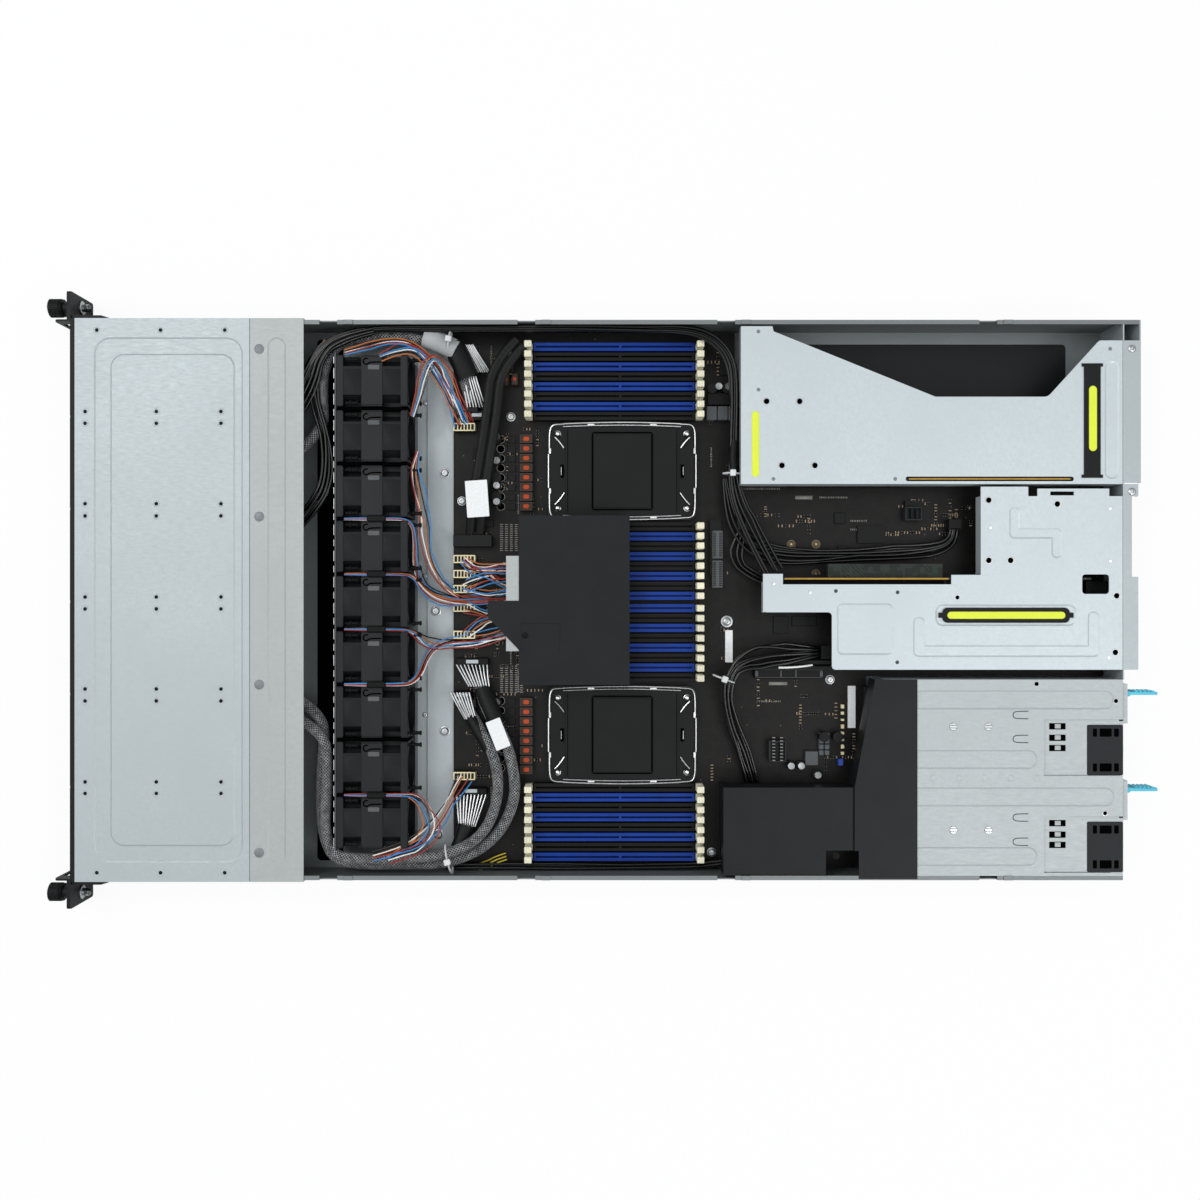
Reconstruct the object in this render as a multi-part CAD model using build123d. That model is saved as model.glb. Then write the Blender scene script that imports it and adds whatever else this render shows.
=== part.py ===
from build123d import *
import math
import os

# A one-unit rack server with its rear top cover off. The front faces -X, the rear +X, and +Z is up.
# The origin is the middle of the overall box, on the underside of the pan. Sizes are in millimetres.

# Chassis sheet metal
CHASSIS_WIDTH = 439.5
CHASSIS_HEIGHT = 44.0
CHASSIS_LENGTH = 818.5
CHASSIS_FRONT_X = -409.5
SHEET = 1.0
COVER_GAP = 0.15
LIP = 2.4
SKIRT_DEPTH = 8.0
HOOK_LENGTH = 14.0
HOOK_DEPTH = 3.0
HOOK_TAB_OFFSET = 19.0
HOOK_X = (-219.0, -64.5, 91.5, 296.0)

# Covers over the drive bay
BAY_COVER_LENGTH = 136.4
STRIP_LENGTH = 42.0
COVER_SEAM = 0.4
PRESS_DEPTH = 0.6
PRESS_SLOPE = 1.3
RING_MARGIN = 15.0
RING_WIDTH = 14.0
RING_SHORT_WIDTH = 7.5
RING_RADIUS = 13.0
STRIP_RIB_WIDTH = 14.5

# Drive bay: two rows of six slim drives
DRIVE_COLUMNS = 6
DRIVE_ROWS = 2
DRIVE_PITCH = 72.3
BAY_SHIFT = -1.25
TRAY_WIDTH = 70.4
TRAY_HEIGHT = 19.6
TRAY_GAP = 0.3
FRAME_DEPTH = 3.5
BEZEL_DEPTH = 14.0
BEZEL_PROUD = 1.0
DRIVE_LENGTH = 100.5
DRIVE_WIDTH = 69.85
DRIVE_THICKNESS = 15.0
DIVIDER = 1.0
BACKPLANE_THICKNESS = 2.4

# Fan row: nine contra-rotating 40 mm fans
FAN_COUNT = 9
FAN_PITCH = 43.2
FAN_SIZE = 40.0
FAN_LENGTH = 56.0
FAN_SETBACK = 24.7
FAN_BORE_RADIUS = 18.6
FAN_FLANGE = 5.0
FAN_MIDDLE = 16.0
FAN_POCKET = 8.8
HUB_RADIUS = 10.5
HUB_PLATE = 5.0
BLADE_COUNT = 5
BLADE_TIP_RADIUS = 17.9
BLADE_THICKNESS = 1.3
BLADE_CHORD = 19.0
BLADE_ROOT_ANGLE = 26.0
BLADE_TIP_ANGLE = 48.0
ROTOR_LENGTH = 20.0
RUNNING_GAP = 0.3

# Floor bracket between the fans and the board
BRACKET_HEIGHT = 3.4
BRACKET_GAP = 2.0
BRACKET_STEP_WIDTH = 21.0

# Motherboard
BOARD_GAP_X = 32.5
BOARD_THICKNESS = 2.0
STANDOFF_HEIGHT = 5.0
STANDOFF_RADIUS = 3.0
BOARD_EDGE_GAP = 1.6
BOARD_FULL_LENGTH = 226.7
BOARD_NECK_OVERLAP = 7.0
BOARD_NECK_GAP = 0.6
BOARD_TAIL_LENGTH = 333.0
BOARD_REAR_GAP = 1.0

# Memory sockets
MEMORY_PITCH = 7.94
MEMORY_SOCKET_LENGTH = 129.0
MEMORY_SOCKET_WIDTH = 6.5
MEMORY_SOCKET_HEIGHT = 9.0
MEMORY_SLOT_WIDTH = 1.6
MEMORY_SLOT_DEPTH = 5.0
MEMORY_START = 64.7
LATCH_LENGTH = 6.3
LATCH_WIDTH = 5.8
LATCH_HEIGHT = 22.0
BANK_TOP_Y = 203.0
BANK_UPPER_MIDDLE_Y = 58.9
BANK_LOWER_MIDDLE_Y = -6.5
BANK_LOW_Y = -150.3
SLOTS_PER_BANK = 8

# Headers, plugs, chokes and cans on the board
HEADER_ROWS_Y = (138.9, 32.9, 20.9, 8.8, -6.2, -27.9, -141.3)
HEADER_LENGTH = 17.2
HEADER_WIDTH = 6.6
HEADER_HEIGHT = 7.4
BOARD_PART_MARGIN = 0.3
FLAT_PLUG_LENGTH = 30.7
FLAT_PLUG_WIDTH = 9.0
PLUG_LENGTH = 12.0
PLUG_WIDTH = 6.0
CHOKE_LENGTH = 9.8
CHOKE_WIDTH = 7.0
CHOKE_HEIGHT = 6.5
CHOKE_PITCH = 7.75
CHOKE_SETBACK = 17.5
CAN_RADIUS = 4.0
CAN_HEIGHT = 8.0
CAN_ROW_OFFSET = 24.0
FLAT_PLUG_Y = 52.0
BUNDLE_PLUG_Y = 57.3

# Processor sockets
SOCKET_START = 76.1
SOCKET_LENGTH = 119.3
SOCKET_WIDTH = 77.6
SOCKET_RIM = 5.5
SOCKET_HEIGHT = 5.0
SOCKET_STUD_RADIUS = 2.6
UPPER_SOCKET_Y = 103.4
LOWER_SOCKET_Y = -108.2
CAP_GAP = 1.0
CAP_THICKNESS = 2.4
CAP_PANEL_LENGTH = 45.7
CAP_PANEL_WIDTH = 58.7
CAP_PANEL_RISE = 1.4

# Air baffle over the middle memory bank
BAFFLE_START = 54.5
BAFFLE_LENGTH = 86.5
BAFFLE_TOP_Y = 66.1
BAFFLE_LOW_Y = -66.5
BAFFLE_SHEET = 0.8
BAFFLE_Z = 42.0
BAFFLE_BRACKET_LENGTH = 11.5
BAFFLE_TONGUE_LENGTH = 24.1
BAFFLE_TONGUE_TOP_Y = -0.6
BAFFLE_TONGUE_LOW_Y = -13.7
BAFFLE_BRACKET_TOP_Y = 34.5
BAFFLE_BRACKET_LOW_Y = -40.0

# Power supplies, in the rear corner on the -Y side
PSU_LENGTH = 185.0
PSU_WIDTH = 73.5
PSU_HEIGHT = 40.0
PSU_SIDE_GAP = 0.6
PSU_WALL_GAP = 4.7
PSU_FAN_LENGTH = 28.6
PSU_BEZEL_DEPTH = 4.2
PSU_BEZEL_WIDTH = 31.0
PSU_TAB_LENGTH = 8.0
PSU_LATCH_REACH = 26.3
PSU_LATCH_SHEET = 2.2
PSU_LATCH_RIDGES = 5
PSU_LATCH_RIDGE_RADIUS = 1.3
PSU_LATCH_RIDGE_PITCH = 3.2
PSU_LATCH_HEIGHT = 17.0
PSU_HINGE_OFFSET = 0.8
PSU_HINGE_RADIUS = 2.0
CAGE_CUT_LENGTH = 61.5
CAGE_CUT_WIDTH = 44.0
CAGE_RIB_START = 1.5
CAGE_RIB_LONG = 176.0
CAGE_RIB_SHORT = 116.0
CAGE_RIB_WIDTH = 15.0
CAGE_RIB_OFFSET_HIGH = 22.5
CAGE_RIB_OFFSET_LOW = 24.0

# Black baffle over the power connectors
POWER_COVER_LENGTH = 102.0
POWER_COVER_WIDTH = 68.6
POWER_DUCT_LENGTH = 49.0
POWER_DUCT_SLANT = 16.0
POWER_SHEET = 0.6
POWER_SOCKET_HEIGHT = 12.0
POWER_WINDOW_LENGTH = 25.4
POWER_WINDOW_WIDTH = 19.5

# Rear wall and its card shelves
SHELF_DEPTH = 13.0
REAR_CORNER_INSET = 16.1
# Rear ports: distance from the board's +Y edge, width and height
REAR_PORTS = (
    (20.5, 15.0, 15.0),
    (42.5, 15.0, 13.0),
    (61.5, 15.0, 13.0),
    (82.5, 15.0, 13.0),
    (103.5, 32.0, 12.5),
)
PORT_DEPTH = 20.0
PORT_MARGIN = 0.8
WINDOW_TOP_Z = 41.0
CARD_WINDOW_Z = 24.0
PORT_Z = 13.0

# Riser one: the long cage on the +Y side
RISER_ONE_LENGTH = 297.7
RISER_ONE_WIDTH = 125.5
RISER_ONE_WALL_GAP = 1.6
RISER_ONE_TAB_X = 24.5
RISER_ONE_NOTCH_Y = 68.1
RISER_ONE_NOTCH_RADIUS = 7.0
RISER_ONE_DIAGONAL_END = 146.0
RISER_ONE_NOTCH_END = 58.2
RISER_ONE_SHOULDER = 18.2
RISER_ONE_BOARD_INSET = 4.0
RISER_ONE_CARD_SLOT = 131.2
RISER_ONE_SLOT_END = 38.0
RISER_ONE_STRAP_X = 23.8
RISER_ONE_STRAP_LENGTH = 86.8
RISER_ONE_STRAP_MARGIN = 6.0
STRAP_END_WIDTH = 1.8
STRAP_END_LENGTH = 2.4
RISER_BOARD_THICKNESS = 1.6
RISER_SLOT_LENGTH = 89.0
RISER_SLOT_WIDTH = 7.4
RISER_SLOT_HEIGHT = 11.0
RISER_WALL_BOTTOM = 24.0
STRAP_WIDTH = 12.8
STRAP_THICKNESS = 0.9

# Riser two: the cranked cage in the middle
RISER_TWO_CAGE_GAP = 7.7
RISER_TWO_TOP_GAP = 9.5
RISER_TWO_BOARD_OFFSET = 71.0
RISER_TWO_STEP_OFFSET = 66.6
RISER_TWO_NECK_OFFSET = 44.8
RISER_TWO_HEAD_LENGTH = 110.6
RISER_TWO_BODY_LENGTH = 226.8
RISER_TWO_LENGTH = 280.5
RISER_TWO_WINDOW = 21.0
RISER_TWO_RIB_WIDTH = 8.4
RISER_TWO_GROOVE_WIDTH = 9.4
RISER_TWO_PANEL_LENGTH = 44.0
RISER_TWO_PANEL_WIDTH = 40.3
RISER_TWO_CLAMP_LENGTH = 56.0
RISER_TWO_CLAMP_WIDTH = 5.9
HANDLE_LENGTH = 105.0
HANDLE_WIDTH = 11.8
HANDLE_END = 38.5
HANDLE_Y_OFFSET = 42.5
HANDLE_POCKET_MARGIN = 2.6
HANDLE_TAB = 3.0

# Rack ears and captive screws
EAR_WIDTH = 21.55
EAR_SHEET = 3.0
EAR_CORNER_RADIUS = 2.0
EAR_LEG_SHEET = 2.8
EAR_LEG_LENGTH = 29.0
EAR_LEG_TAPER = 6.0
EAR_HANDLE_REACH = 10.5
EAR_HANDLE_SHEET = 1.6
EAR_HANDLE_RADIUS = 4.0
EAR_MARGIN_Z = 0.6
SCREW_INSET = 8.75
SCREW_Z = 22.0
KNOB_RADIUS = 7.0
KNOB_LENGTH = 12.5
KNOB_REACH = 26.5
KNOB_DOME = 1.9
KNOB_GROOVE = 0.7
COLLAR_RADIUS = 5.2
SCREW_RADIUS = 3.0
SCREW_NECK_RADIUS = 2.5
SCREW_REACH = 7.8
SCREW_LEAD_IN = 2.0
SCREW_TIP_RADIUS = 1.3
THREAD_LENGTH = 4.6
BUTTON_RADIUS = 2.3
BUTTON_INSET = 18.3
BUTTON_Z = 8.5

# Cable looms, kept along the walls
LOOM_RADIUS = 4.4
LEAD_RADIUS = 2.7
LOOM_Z = 25.0
LOOM_PLUG_Y = -63.6
INNER_PLUG_Y = -85.6
UPPER_PLUG_Y = 156.5
BUNDLE_RADIUS = 3.4
FLAT_RADIUS = 2.2
FLAT_SPREAD = 3.0

# Places worked out from the sizes above
FRONT_X = CHASSIS_FRONT_X
REAR_X = FRONT_X + CHASSIS_LENGTH
REAR_IN_X = REAR_X - SHEET
COVER_OUT = CHASSIS_WIDTH / 2
WALL_OUT = COVER_OUT - SHEET - COVER_GAP
WALL_IN = WALL_OUT - SHEET
LID_UNDER = CHASSIS_HEIGHT - SHEET
BAY_END_X = FRONT_X + BAY_COVER_LENGTH
STRIP_END_X = BAY_END_X + STRIP_LENGTH
FAN_FRONT_X = STRIP_END_X + FAN_SETBACK
FAN_REAR_X = FAN_FRONT_X + FAN_LENGTH
FAN_MIDDLE_X = (FAN_FRONT_X + FAN_REAR_X) / 2
FAN_Z = SHEET + FAN_SIZE / 2
BOARD_X = FAN_REAR_X + BOARD_GAP_X
BOARD_TOP = SHEET + STANDOFF_HEIGHT + BOARD_THICKNESS
BOARD_SIDE_Y = WALL_IN - BOARD_EDGE_GAP
BOARD_REAR_X = REAR_IN_X - BOARD_REAR_GAP
MEMORY_X = BOARD_X + MEMORY_START
MEMORY_TOP = BOARD_TOP + MEMORY_SOCKET_HEIGHT
SOCKET_X = BOARD_X + SOCKET_START
FRAME_X = FRONT_X - FRAME_DEPTH
TRAY_FRONT_X = FRAME_X - BEZEL_PROUD
PSU_FRONT_X = REAR_X - PSU_LENGTH
PSU_BOTTOM = SHEET + RUNNING_GAP
PSU_TWO_Y = -WALL_IN + PSU_WALL_GAP + PSU_WIDTH / 2
PSU_ONE_Y = PSU_TWO_Y + PSU_WIDTH + SHEET + 2 * PSU_SIDE_GAP
CAGE_SIDE_Y = PSU_ONE_Y + PSU_WIDTH / 2 + PSU_SIDE_GAP
CAGE_MIDDLE_Y = (PSU_ONE_Y + PSU_TWO_Y) / 2
CAGE_TOP = LID_UNDER
SHELF_END_X = REAR_X + SHELF_DEPTH
RISER_END_X = REAR_IN_X - RUNNING_GAP
RISER_ONE_X = RISER_END_X - RISER_ONE_LENGTH
RISER_TWO_X = RISER_END_X - RISER_TWO_LENGTH
RISER_ONE_TOP_Y = WALL_IN - RISER_ONE_WALL_GAP
RISER_ONE_LOW_Y = RISER_ONE_TOP_Y - RISER_ONE_WIDTH
RISER_ONE_CORNER_Y = WALL_OUT - REAR_CORNER_INSET
RISER_ONE_EDGE_Y = RISER_ONE_LOW_Y + RISER_ONE_NOTCH_Y
RISER_ONE_BOARD_Y = RISER_ONE_LOW_Y + RISER_ONE_BOARD_INSET
RISER_TWO_LOW_Y = CAGE_SIDE_Y + SHEET + RISER_TWO_CAGE_GAP
RISER_TWO_TOP_Y = RISER_ONE_LOW_Y - RISER_TWO_TOP_GAP
RISER_TWO_BOARD_Y = RISER_TWO_LOW_Y + RISER_TWO_BOARD_OFFSET
RISER_TWO_STEP_Y = RISER_TWO_LOW_Y + RISER_TWO_STEP_OFFSET
RISER_TWO_NECK_Y = RISER_TWO_LOW_Y + RISER_TWO_NECK_OFFSET
HANDLE_Y = RISER_TWO_LOW_Y + HANDLE_Y_OFFSET
BOARD_NECK_TOP_Y = RISER_ONE_LOW_Y + BOARD_NECK_OVERLAP
BOARD_NECK_LOW_Y = CAGE_SIDE_Y + SHEET + BOARD_NECK_GAP
BANK_MIDDLE_Y = BANK_TOP_Y - MEMORY_PITCH * (SLOTS_PER_BANK - 1) / 2 - 5.2
DROP_PLUG_Y = -WALL_IN + POWER_COVER_WIDTH - 2.0
SLOT_ONE_X = RISER_ONE_X + 45.0
SLOT_TWO_X = RISER_TWO_X + 22.0
EAR_X = FRAME_X - EAR_SHEET
EAR_IN_Y = WALL_IN
EAR_OUT_Y = COVER_OUT + EAR_WIDTH
SCREW_Y = EAR_OUT_Y - SCREW_INSET
KNOB_FRONT_X = FRAME_X - KNOB_REACH
SCREW_TIP_X = FRAME_X + SCREW_REACH
BUTTON_Y = BUTTON_INSET - EAR_OUT_Y


def block(x0, x1, y0, y1, z0, z1):
    """A square-cornered solid between two opposite corners."""
    middle = Pos((x0 + x1) / 2, (y0 + y1) / 2, (z0 + z1) / 2)
    return middle * Box(x1 - x0, y1 - y0, z1 - z0)


def rod_x(x0, x1, y, z, radius):
    """A round bar along X."""
    return Pos((x0 + x1) / 2, y, z) * Rot(0, 90, 0) * Cylinder(radius, x1 - x0)


def rod_z(x, y, z0, z1, radius):
    """A round bar along Z."""
    return Pos(x, y, (z0 + z1) / 2) * Cylinder(radius, z1 - z0)


def slab(points, z0, z1):
    """A flat plate with a straight-sided outline."""
    return Pos(0, 0, z0) * extrude(Polygon(*points, align=None), z1 - z0, dir=(0, 0, 1))


def rounded(x0, x1, y0, y1, radius):
    """A rectangular outline with round corners."""
    limit = min(x1 - x0, y1 - y0) / 2 - 0.01
    middle = Pos((x0 + x1) / 2, (y0 + y1) / 2)
    return middle * RectangleRounded(x1 - x0, y1 - y0, min(radius, limit))


def leaning(x0, x1, y0, y1, radius, low, high, spread):
    """A round-cornered block whose outline grows by spread on every side from its foot to its top."""
    foot = Pos(0, 0, low) * rounded(x0, x1, y0, y1, radius)
    head = Pos(0, 0, high) * rounded(x0 - spread, x1 + spread, y0 - spread, y1 + spread, radius + spread)
    return loft([foot, head])


def sunk(x0, x1, y0, y1, radius, top, depth):
    """The hollow of a pressed form: its sides lean in as they go down, and it is open above."""
    inset = PRESS_SLOPE
    hollow = leaning(x0 + inset, x1 - inset, y0 + inset, y1 - inset, radius - inset, top - depth, top, inset)
    return hollow + Pos(0, 0, top) * extrude(rounded(x0, x1, y0, y1, radius), depth)


def pressed(sheet, areas, top, depth=PRESS_DEPTH):
    """Presses round-cornered areas down into a flat sheet, which keeps its thickness there."""
    for x0, x1, y0, y1, radius in areas:
        sheet += Pos(0, 0, top - depth - SHEET) * extrude(rounded(x0, x1, y0, y1, radius), SHEET)
    for area in areas:
        sheet -= sunk(*area, top, depth)
    return sheet


def cut_sheet(points, rounds, z0, z1):
    """A flat plate whose outline has some corners rounded, each given as its number and radius."""
    outline = Polygon(*points, align=None)
    for number, radius in rounds:
        corner = outline.vertices().sort_by_distance(Vector(*points[number], 0))[0]
        outline = fillet(corner, radius)
    return Pos(0, 0, z0) * extrude(outline, z1 - z0, dir=(0, 0, 1))


def column_y(column):
    """Middle of a drive column, counted from the +Y side."""
    return BAY_SHIFT + (DRIVE_COLUMNS - 1 - 2 * column) * DRIVE_PITCH / 2


def row_z(row):
    """Underside of a drive row, counted from the floor."""
    return SHEET + TRAY_GAP + row * (TRAY_HEIGHT + DIVIDER + 2 * TRAY_GAP)


def fan_y(fan):
    """Middle of a fan, counted from the +Y side."""
    return BAY_SHIFT + (FAN_COUNT - 1 - 2 * fan) * FAN_PITCH / 2


def socket_rows():
    """Middle of each memory socket as (y, whether it is blue), from the +Y side down."""
    rows = []
    for start, first_blue in (
        (BANK_TOP_Y, True),
        (BANK_UPPER_MIDDLE_Y, False),
        (BANK_LOWER_MIDDLE_Y, True),
        (BANK_LOW_Y, False),
    ):
        for slot in range(SLOTS_PER_BANK):
            rows.append((start - slot * MEMORY_PITCH, (slot % 2 == 0) == first_blue))
    return rows


def chassis_pan():
    """Bent pan: the floor, both side walls, and their top lips with the cover's hook slots."""
    pan = block(FRONT_X, REAR_IN_X, -WALL_OUT, WALL_OUT, 0, SHEET)
    for side, end in ((1, SHELF_END_X - SHEET), (-1, REAR_IN_X)):
        low, high = sorted((side * WALL_IN, side * WALL_OUT))
        pan += block(FRONT_X, end, low, high, 0, LID_UNDER)
        low, high = sorted((side * (WALL_IN - LIP), side * WALL_OUT))
        pan += block(STRIP_END_X, end, low, high, LID_UNDER - SHEET, LID_UNDER)
        notches = []
        for hook in HOOK_X:
            notches.append(
                block(hook, hook + HOOK_LENGTH, low - 1, high + 1, LID_UNDER - HOOK_DEPTH, CHASSIS_HEIGHT)
            )
        pan -= notches
        for hook in HOOK_X:
            tab = hook + HOOK_TAB_OFFSET
            pan += block(tab, tab + HOOK_LENGTH / 2, low, high, LID_UNDER, LID_UNDER + SHEET * 0.9)
    return [pan]


def front_cover():
    """Fixed lid over the drives, with a pressed ring and skirts outside the walls."""
    x1 = BAY_END_X - COVER_SEAM / 2
    lid = block(FRONT_X, x1, -COVER_OUT, COVER_OUT, LID_UNDER, CHASSIS_HEIGHT)
    outer = (
        FRONT_X + RING_MARGIN,
        x1 - RING_MARGIN / 3,
        -COVER_OUT + RING_MARGIN,
        COVER_OUT - RING_MARGIN,
        RING_RADIUS,
    )
    inner = (
        FRONT_X + RING_MARGIN + RING_WIDTH - PRESS_SLOPE,
        x1 - RING_MARGIN / 3 - RING_SHORT_WIDTH + PRESS_SLOPE,
        -COVER_OUT + RING_MARGIN + RING_WIDTH - PRESS_SLOPE,
        COVER_OUT - RING_MARGIN - RING_WIDTH + PRESS_SLOPE,
        RING_RADIUS * 0.75 + PRESS_SLOPE,
    )
    middle = leaning(*inner, CHASSIS_HEIGHT - PRESS_DEPTH, CHASSIS_HEIGHT, -PRESS_SLOPE)
    lid = pressed(lid, [outer], CHASSIS_HEIGHT) + middle
    return [skirted(lid, FRONT_X, x1)]


def skirted(lid, x0, x1):
    """Adds the two skirts of a lid, which hang outside the side walls."""
    for side in (1, -1):
        low, high = sorted((side * (COVER_OUT - SHEET), side * COVER_OUT))
        lid += block(x0, x1, low, high, LID_UNDER - SKIRT_DEPTH, CHASSIS_HEIGHT)
    return lid


def cover_strip():
    """Narrow lid over the backplane, with one long pressed rib."""
    x0 = BAY_END_X + COVER_SEAM / 2
    lid = block(x0, STRIP_END_X, -COVER_OUT, COVER_OUT, LID_UNDER, CHASSIS_HEIGHT)
    middle = (x0 + STRIP_END_X) / 2
    rib = (
        middle - STRIP_RIB_WIDTH / 2,
        middle + STRIP_RIB_WIDTH / 2,
        -COVER_OUT + RING_MARGIN,
        COVER_OUT - RING_MARGIN,
        STRIP_RIB_WIDTH / 2,
    )
    return [skirted(pressed(lid, [rib], CHASSIS_HEIGHT), x0, STRIP_END_X)]


def drive_cage():
    """Black front frame with twelve openings, and the shelf and dividers behind it."""
    cage_top = LID_UNDER - PRESS_DEPTH - TRAY_GAP / 3
    cage = block(FRAME_X, FRONT_X, -COVER_OUT, COVER_OUT, 0, CHASSIS_HEIGHT)
    openings = []
    for column in range(DRIVE_COLUMNS):
        for row in range(DRIVE_ROWS):
            y, z = column_y(column), row_z(row)
            half = TRAY_WIDTH / 2 + TRAY_GAP
            openings.append(
                block(FRAME_X - 1, FRONT_X + 1, y - half, y + half, z - TRAY_GAP, z + TRAY_HEIGHT + TRAY_GAP)
            )
    cage -= openings
    shelf_z = row_z(1) - TRAY_GAP - DIVIDER
    end = BAY_END_X - BACKPLANE_THICKNESS
    cage += block(FRONT_X, end, -WALL_IN, WALL_IN, shelf_z, shelf_z + DIVIDER)
    for column in range(DRIVE_COLUMNS - 1):
        y = (column_y(column) + column_y(column + 1)) / 2
        cage += block(FRONT_X, end, y - DIVIDER / 2, y + DIVIDER / 2, SHEET, cage_top)
    return [cage]


def backplane():
    """Upright board behind the drives, with one connector for each drive and air slots."""
    x0 = BAY_END_X - BACKPLANE_THICKNESS
    board = block(x0, BAY_END_X, -WALL_IN, WALL_IN, SHEET, LID_UNDER - PRESS_DEPTH * 2)
    slots = []
    for column in range(DRIVE_COLUMNS):
        for row in range(DRIVE_ROWS):
            y, z = column_y(column), row_z(row)
            slots.append(block(x0 - 1, BAY_END_X + 1, y - 30, y + 4, z + 11.5, z + 16.5))
    board -= slots
    for column in range(DRIVE_COLUMNS):
        for row in range(DRIVE_ROWS):
            y, z = column_y(column), row_z(row)
            board += block(x0 - 5, x0, y - 22, y + 20, z + 2.5, z + 8.5)
    return [board]


def drive_tray(column, row):
    """Hot-swap carrier: a vented front with its pull bar and button, a floor, and the drive on it."""
    y, z = column_y(column), row_z(row)
    half = TRAY_WIDTH / 2
    back = TRAY_FRONT_X + BEZEL_DEPTH
    drive_end = BAY_END_X - BACKPLANE_THICKNESS - 5 - TRAY_GAP
    drive_start = drive_end - DRIVE_LENGTH
    bezel = block(TRAY_FRONT_X, back, y - half, y + half, z, z + TRAY_HEIGHT)
    vents = []
    for vent in range(6):
        vent_y = y + half - 9.0 - vent * 7.4
        for vent_z in (z + 3.0, z + 11.6):
            vents.append(block(TRAY_FRONT_X - 1, back + 1, vent_y - 5.6, vent_y, vent_z, vent_z + 5.0))
    bezel -= vents
    side_y, top = y - half, z + TRAY_HEIGHT
    bezel -= block(TRAY_FRONT_X - 1, TRAY_FRONT_X + 2.5, side_y + 3, side_y + 15, z + 3, top - 3)
    bezel += block(TRAY_FRONT_X + 0.6, TRAY_FRONT_X + 4, side_y + 4.5, side_y + 13.5, z + 5, top - 5)
    tray = bezel + block(back, drive_end, y - half, y + half, z, z + SHEET)
    for side in (-1, 1):
        low, high = sorted((y + side * (half - SHEET), y + side * half))
        tray += block(back, drive_start - TRAY_GAP, low, high, z, z + TRAY_HEIGHT * 0.8)
    half_drive = DRIVE_WIDTH / 2
    drive = block(
        drive_start, drive_end, y - half_drive, y + half_drive, z + SHEET, z + SHEET + DRIVE_THICKNESS
    )
    return [tray, drive]


def fan_wall():
    """Upright sheet in front of the fans, with a round opening for each and a turned top edge."""
    top = fan_y(0) + FAN_SIZE / 2 + 2
    low = fan_y(FAN_COUNT - 1) - FAN_SIZE / 2 - 2
    wall = block(FAN_FRONT_X - SHEET, FAN_FRONT_X, low, top, SHEET, SHEET + FAN_SIZE + 0.6)
    holes = []
    for fan in range(FAN_COUNT):
        holes.append(rod_x(FAN_FRONT_X - 2 * SHEET, FAN_FRONT_X + SHEET, fan_y(fan), FAN_Z, FAN_BORE_RADIUS))
    wall -= holes
    return [wall + block(FAN_FRONT_X - 8, FAN_FRONT_X - SHEET, low, top, SHEET, 2 * SHEET)]


def fan_housing(y):
    """Double-length square fan body: bore, corner pockets between the flanges, hub plate and spokes."""
    half = FAN_SIZE / 2
    body = block(FAN_FRONT_X, FAN_REAR_X, y - half, y + half, FAN_Z - half, FAN_Z + half)
    body -= rod_x(FAN_FRONT_X - 1, FAN_REAR_X + 1, y, FAN_Z, FAN_BORE_RADIUS)
    barrel = rod_x(FAN_FRONT_X, FAN_REAR_X, y, FAN_Z, FAN_BORE_RADIUS + 1.1)
    pockets = []
    for x0, x1 in (
        (FAN_FRONT_X + FAN_FLANGE, FAN_MIDDLE_X - FAN_MIDDLE / 2),
        (FAN_MIDDLE_X + FAN_MIDDLE / 2, FAN_REAR_X - FAN_FLANGE),
    ):
        for side_y in (-1, 1):
            for side_z in (-1, 1):
                y0, y1 = sorted((y + side_y * (half - FAN_POCKET), y + side_y * (half + 1)))
                z0, z1 = sorted((FAN_Z + side_z * (half - FAN_POCKET), FAN_Z + side_z * (half + 1)))
                pockets.append(block(x0, x1, y0, y1, z0, z1) - barrel)
    body -= pockets
    body += rod_x(FAN_MIDDLE_X - HUB_PLATE / 2, FAN_MIDDLE_X + HUB_PLATE / 2, y, FAN_Z, HUB_RADIUS)
    reach = FAN_BORE_RADIUS + 0.3
    body += block(FAN_MIDDLE_X - 1, FAN_MIDDLE_X + 1, y - reach, y + reach, FAN_Z - 0.8, FAN_Z + 0.8)
    body += block(FAN_MIDDLE_X - 1, FAN_MIDDLE_X + 1, y - 0.8, y + 0.8, FAN_Z - reach, FAN_Z + reach)
    return body


def fan_housings():
    """The nine fan bodies, side by side."""
    return [fan_housing(fan_y(fan)) for fan in range(FAN_COUNT)]


def impeller(length, direction):
    """One wheel on the X axis: a hub and blades that twist from root to tip and follow the bore."""
    sections = []
    for radius, angle in ((HUB_RADIUS - 1, BLADE_ROOT_ANGLE), (BLADE_TIP_RADIUS + 1, BLADE_TIP_ANGLE)):
        chord = Rot(0, 0, direction * angle) * Rectangle(BLADE_CHORD, BLADE_THICKNESS)
        sections.append(Pos(0, 0, radius) * chord)
    blade = loft(sections, ruled=True)
    sweep_limit = Rot(0, 90, 0) * Cylinder(BLADE_TIP_RADIUS, length)
    wheel = Rot(0, 90, 0) * Cylinder(HUB_RADIUS, length)
    for turn in range(BLADE_COUNT):
        wheel += (Rot(360 / BLADE_COUNT * turn, 0, 0) * blade) & sweep_limit
    return wheel


def fan_rotor(fan):
    """The front and rear wheels of one fan."""
    offset = HUB_PLATE / 2 + RUNNING_GAP + ROTOR_LENGTH / 2
    wheels = []
    for side in (-1, 1):
        wheels.append(Pos(FAN_MIDDLE_X + side * offset, fan_y(fan), FAN_Z) * impeller(ROTOR_LENGTH, side))
    return wheels


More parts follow.
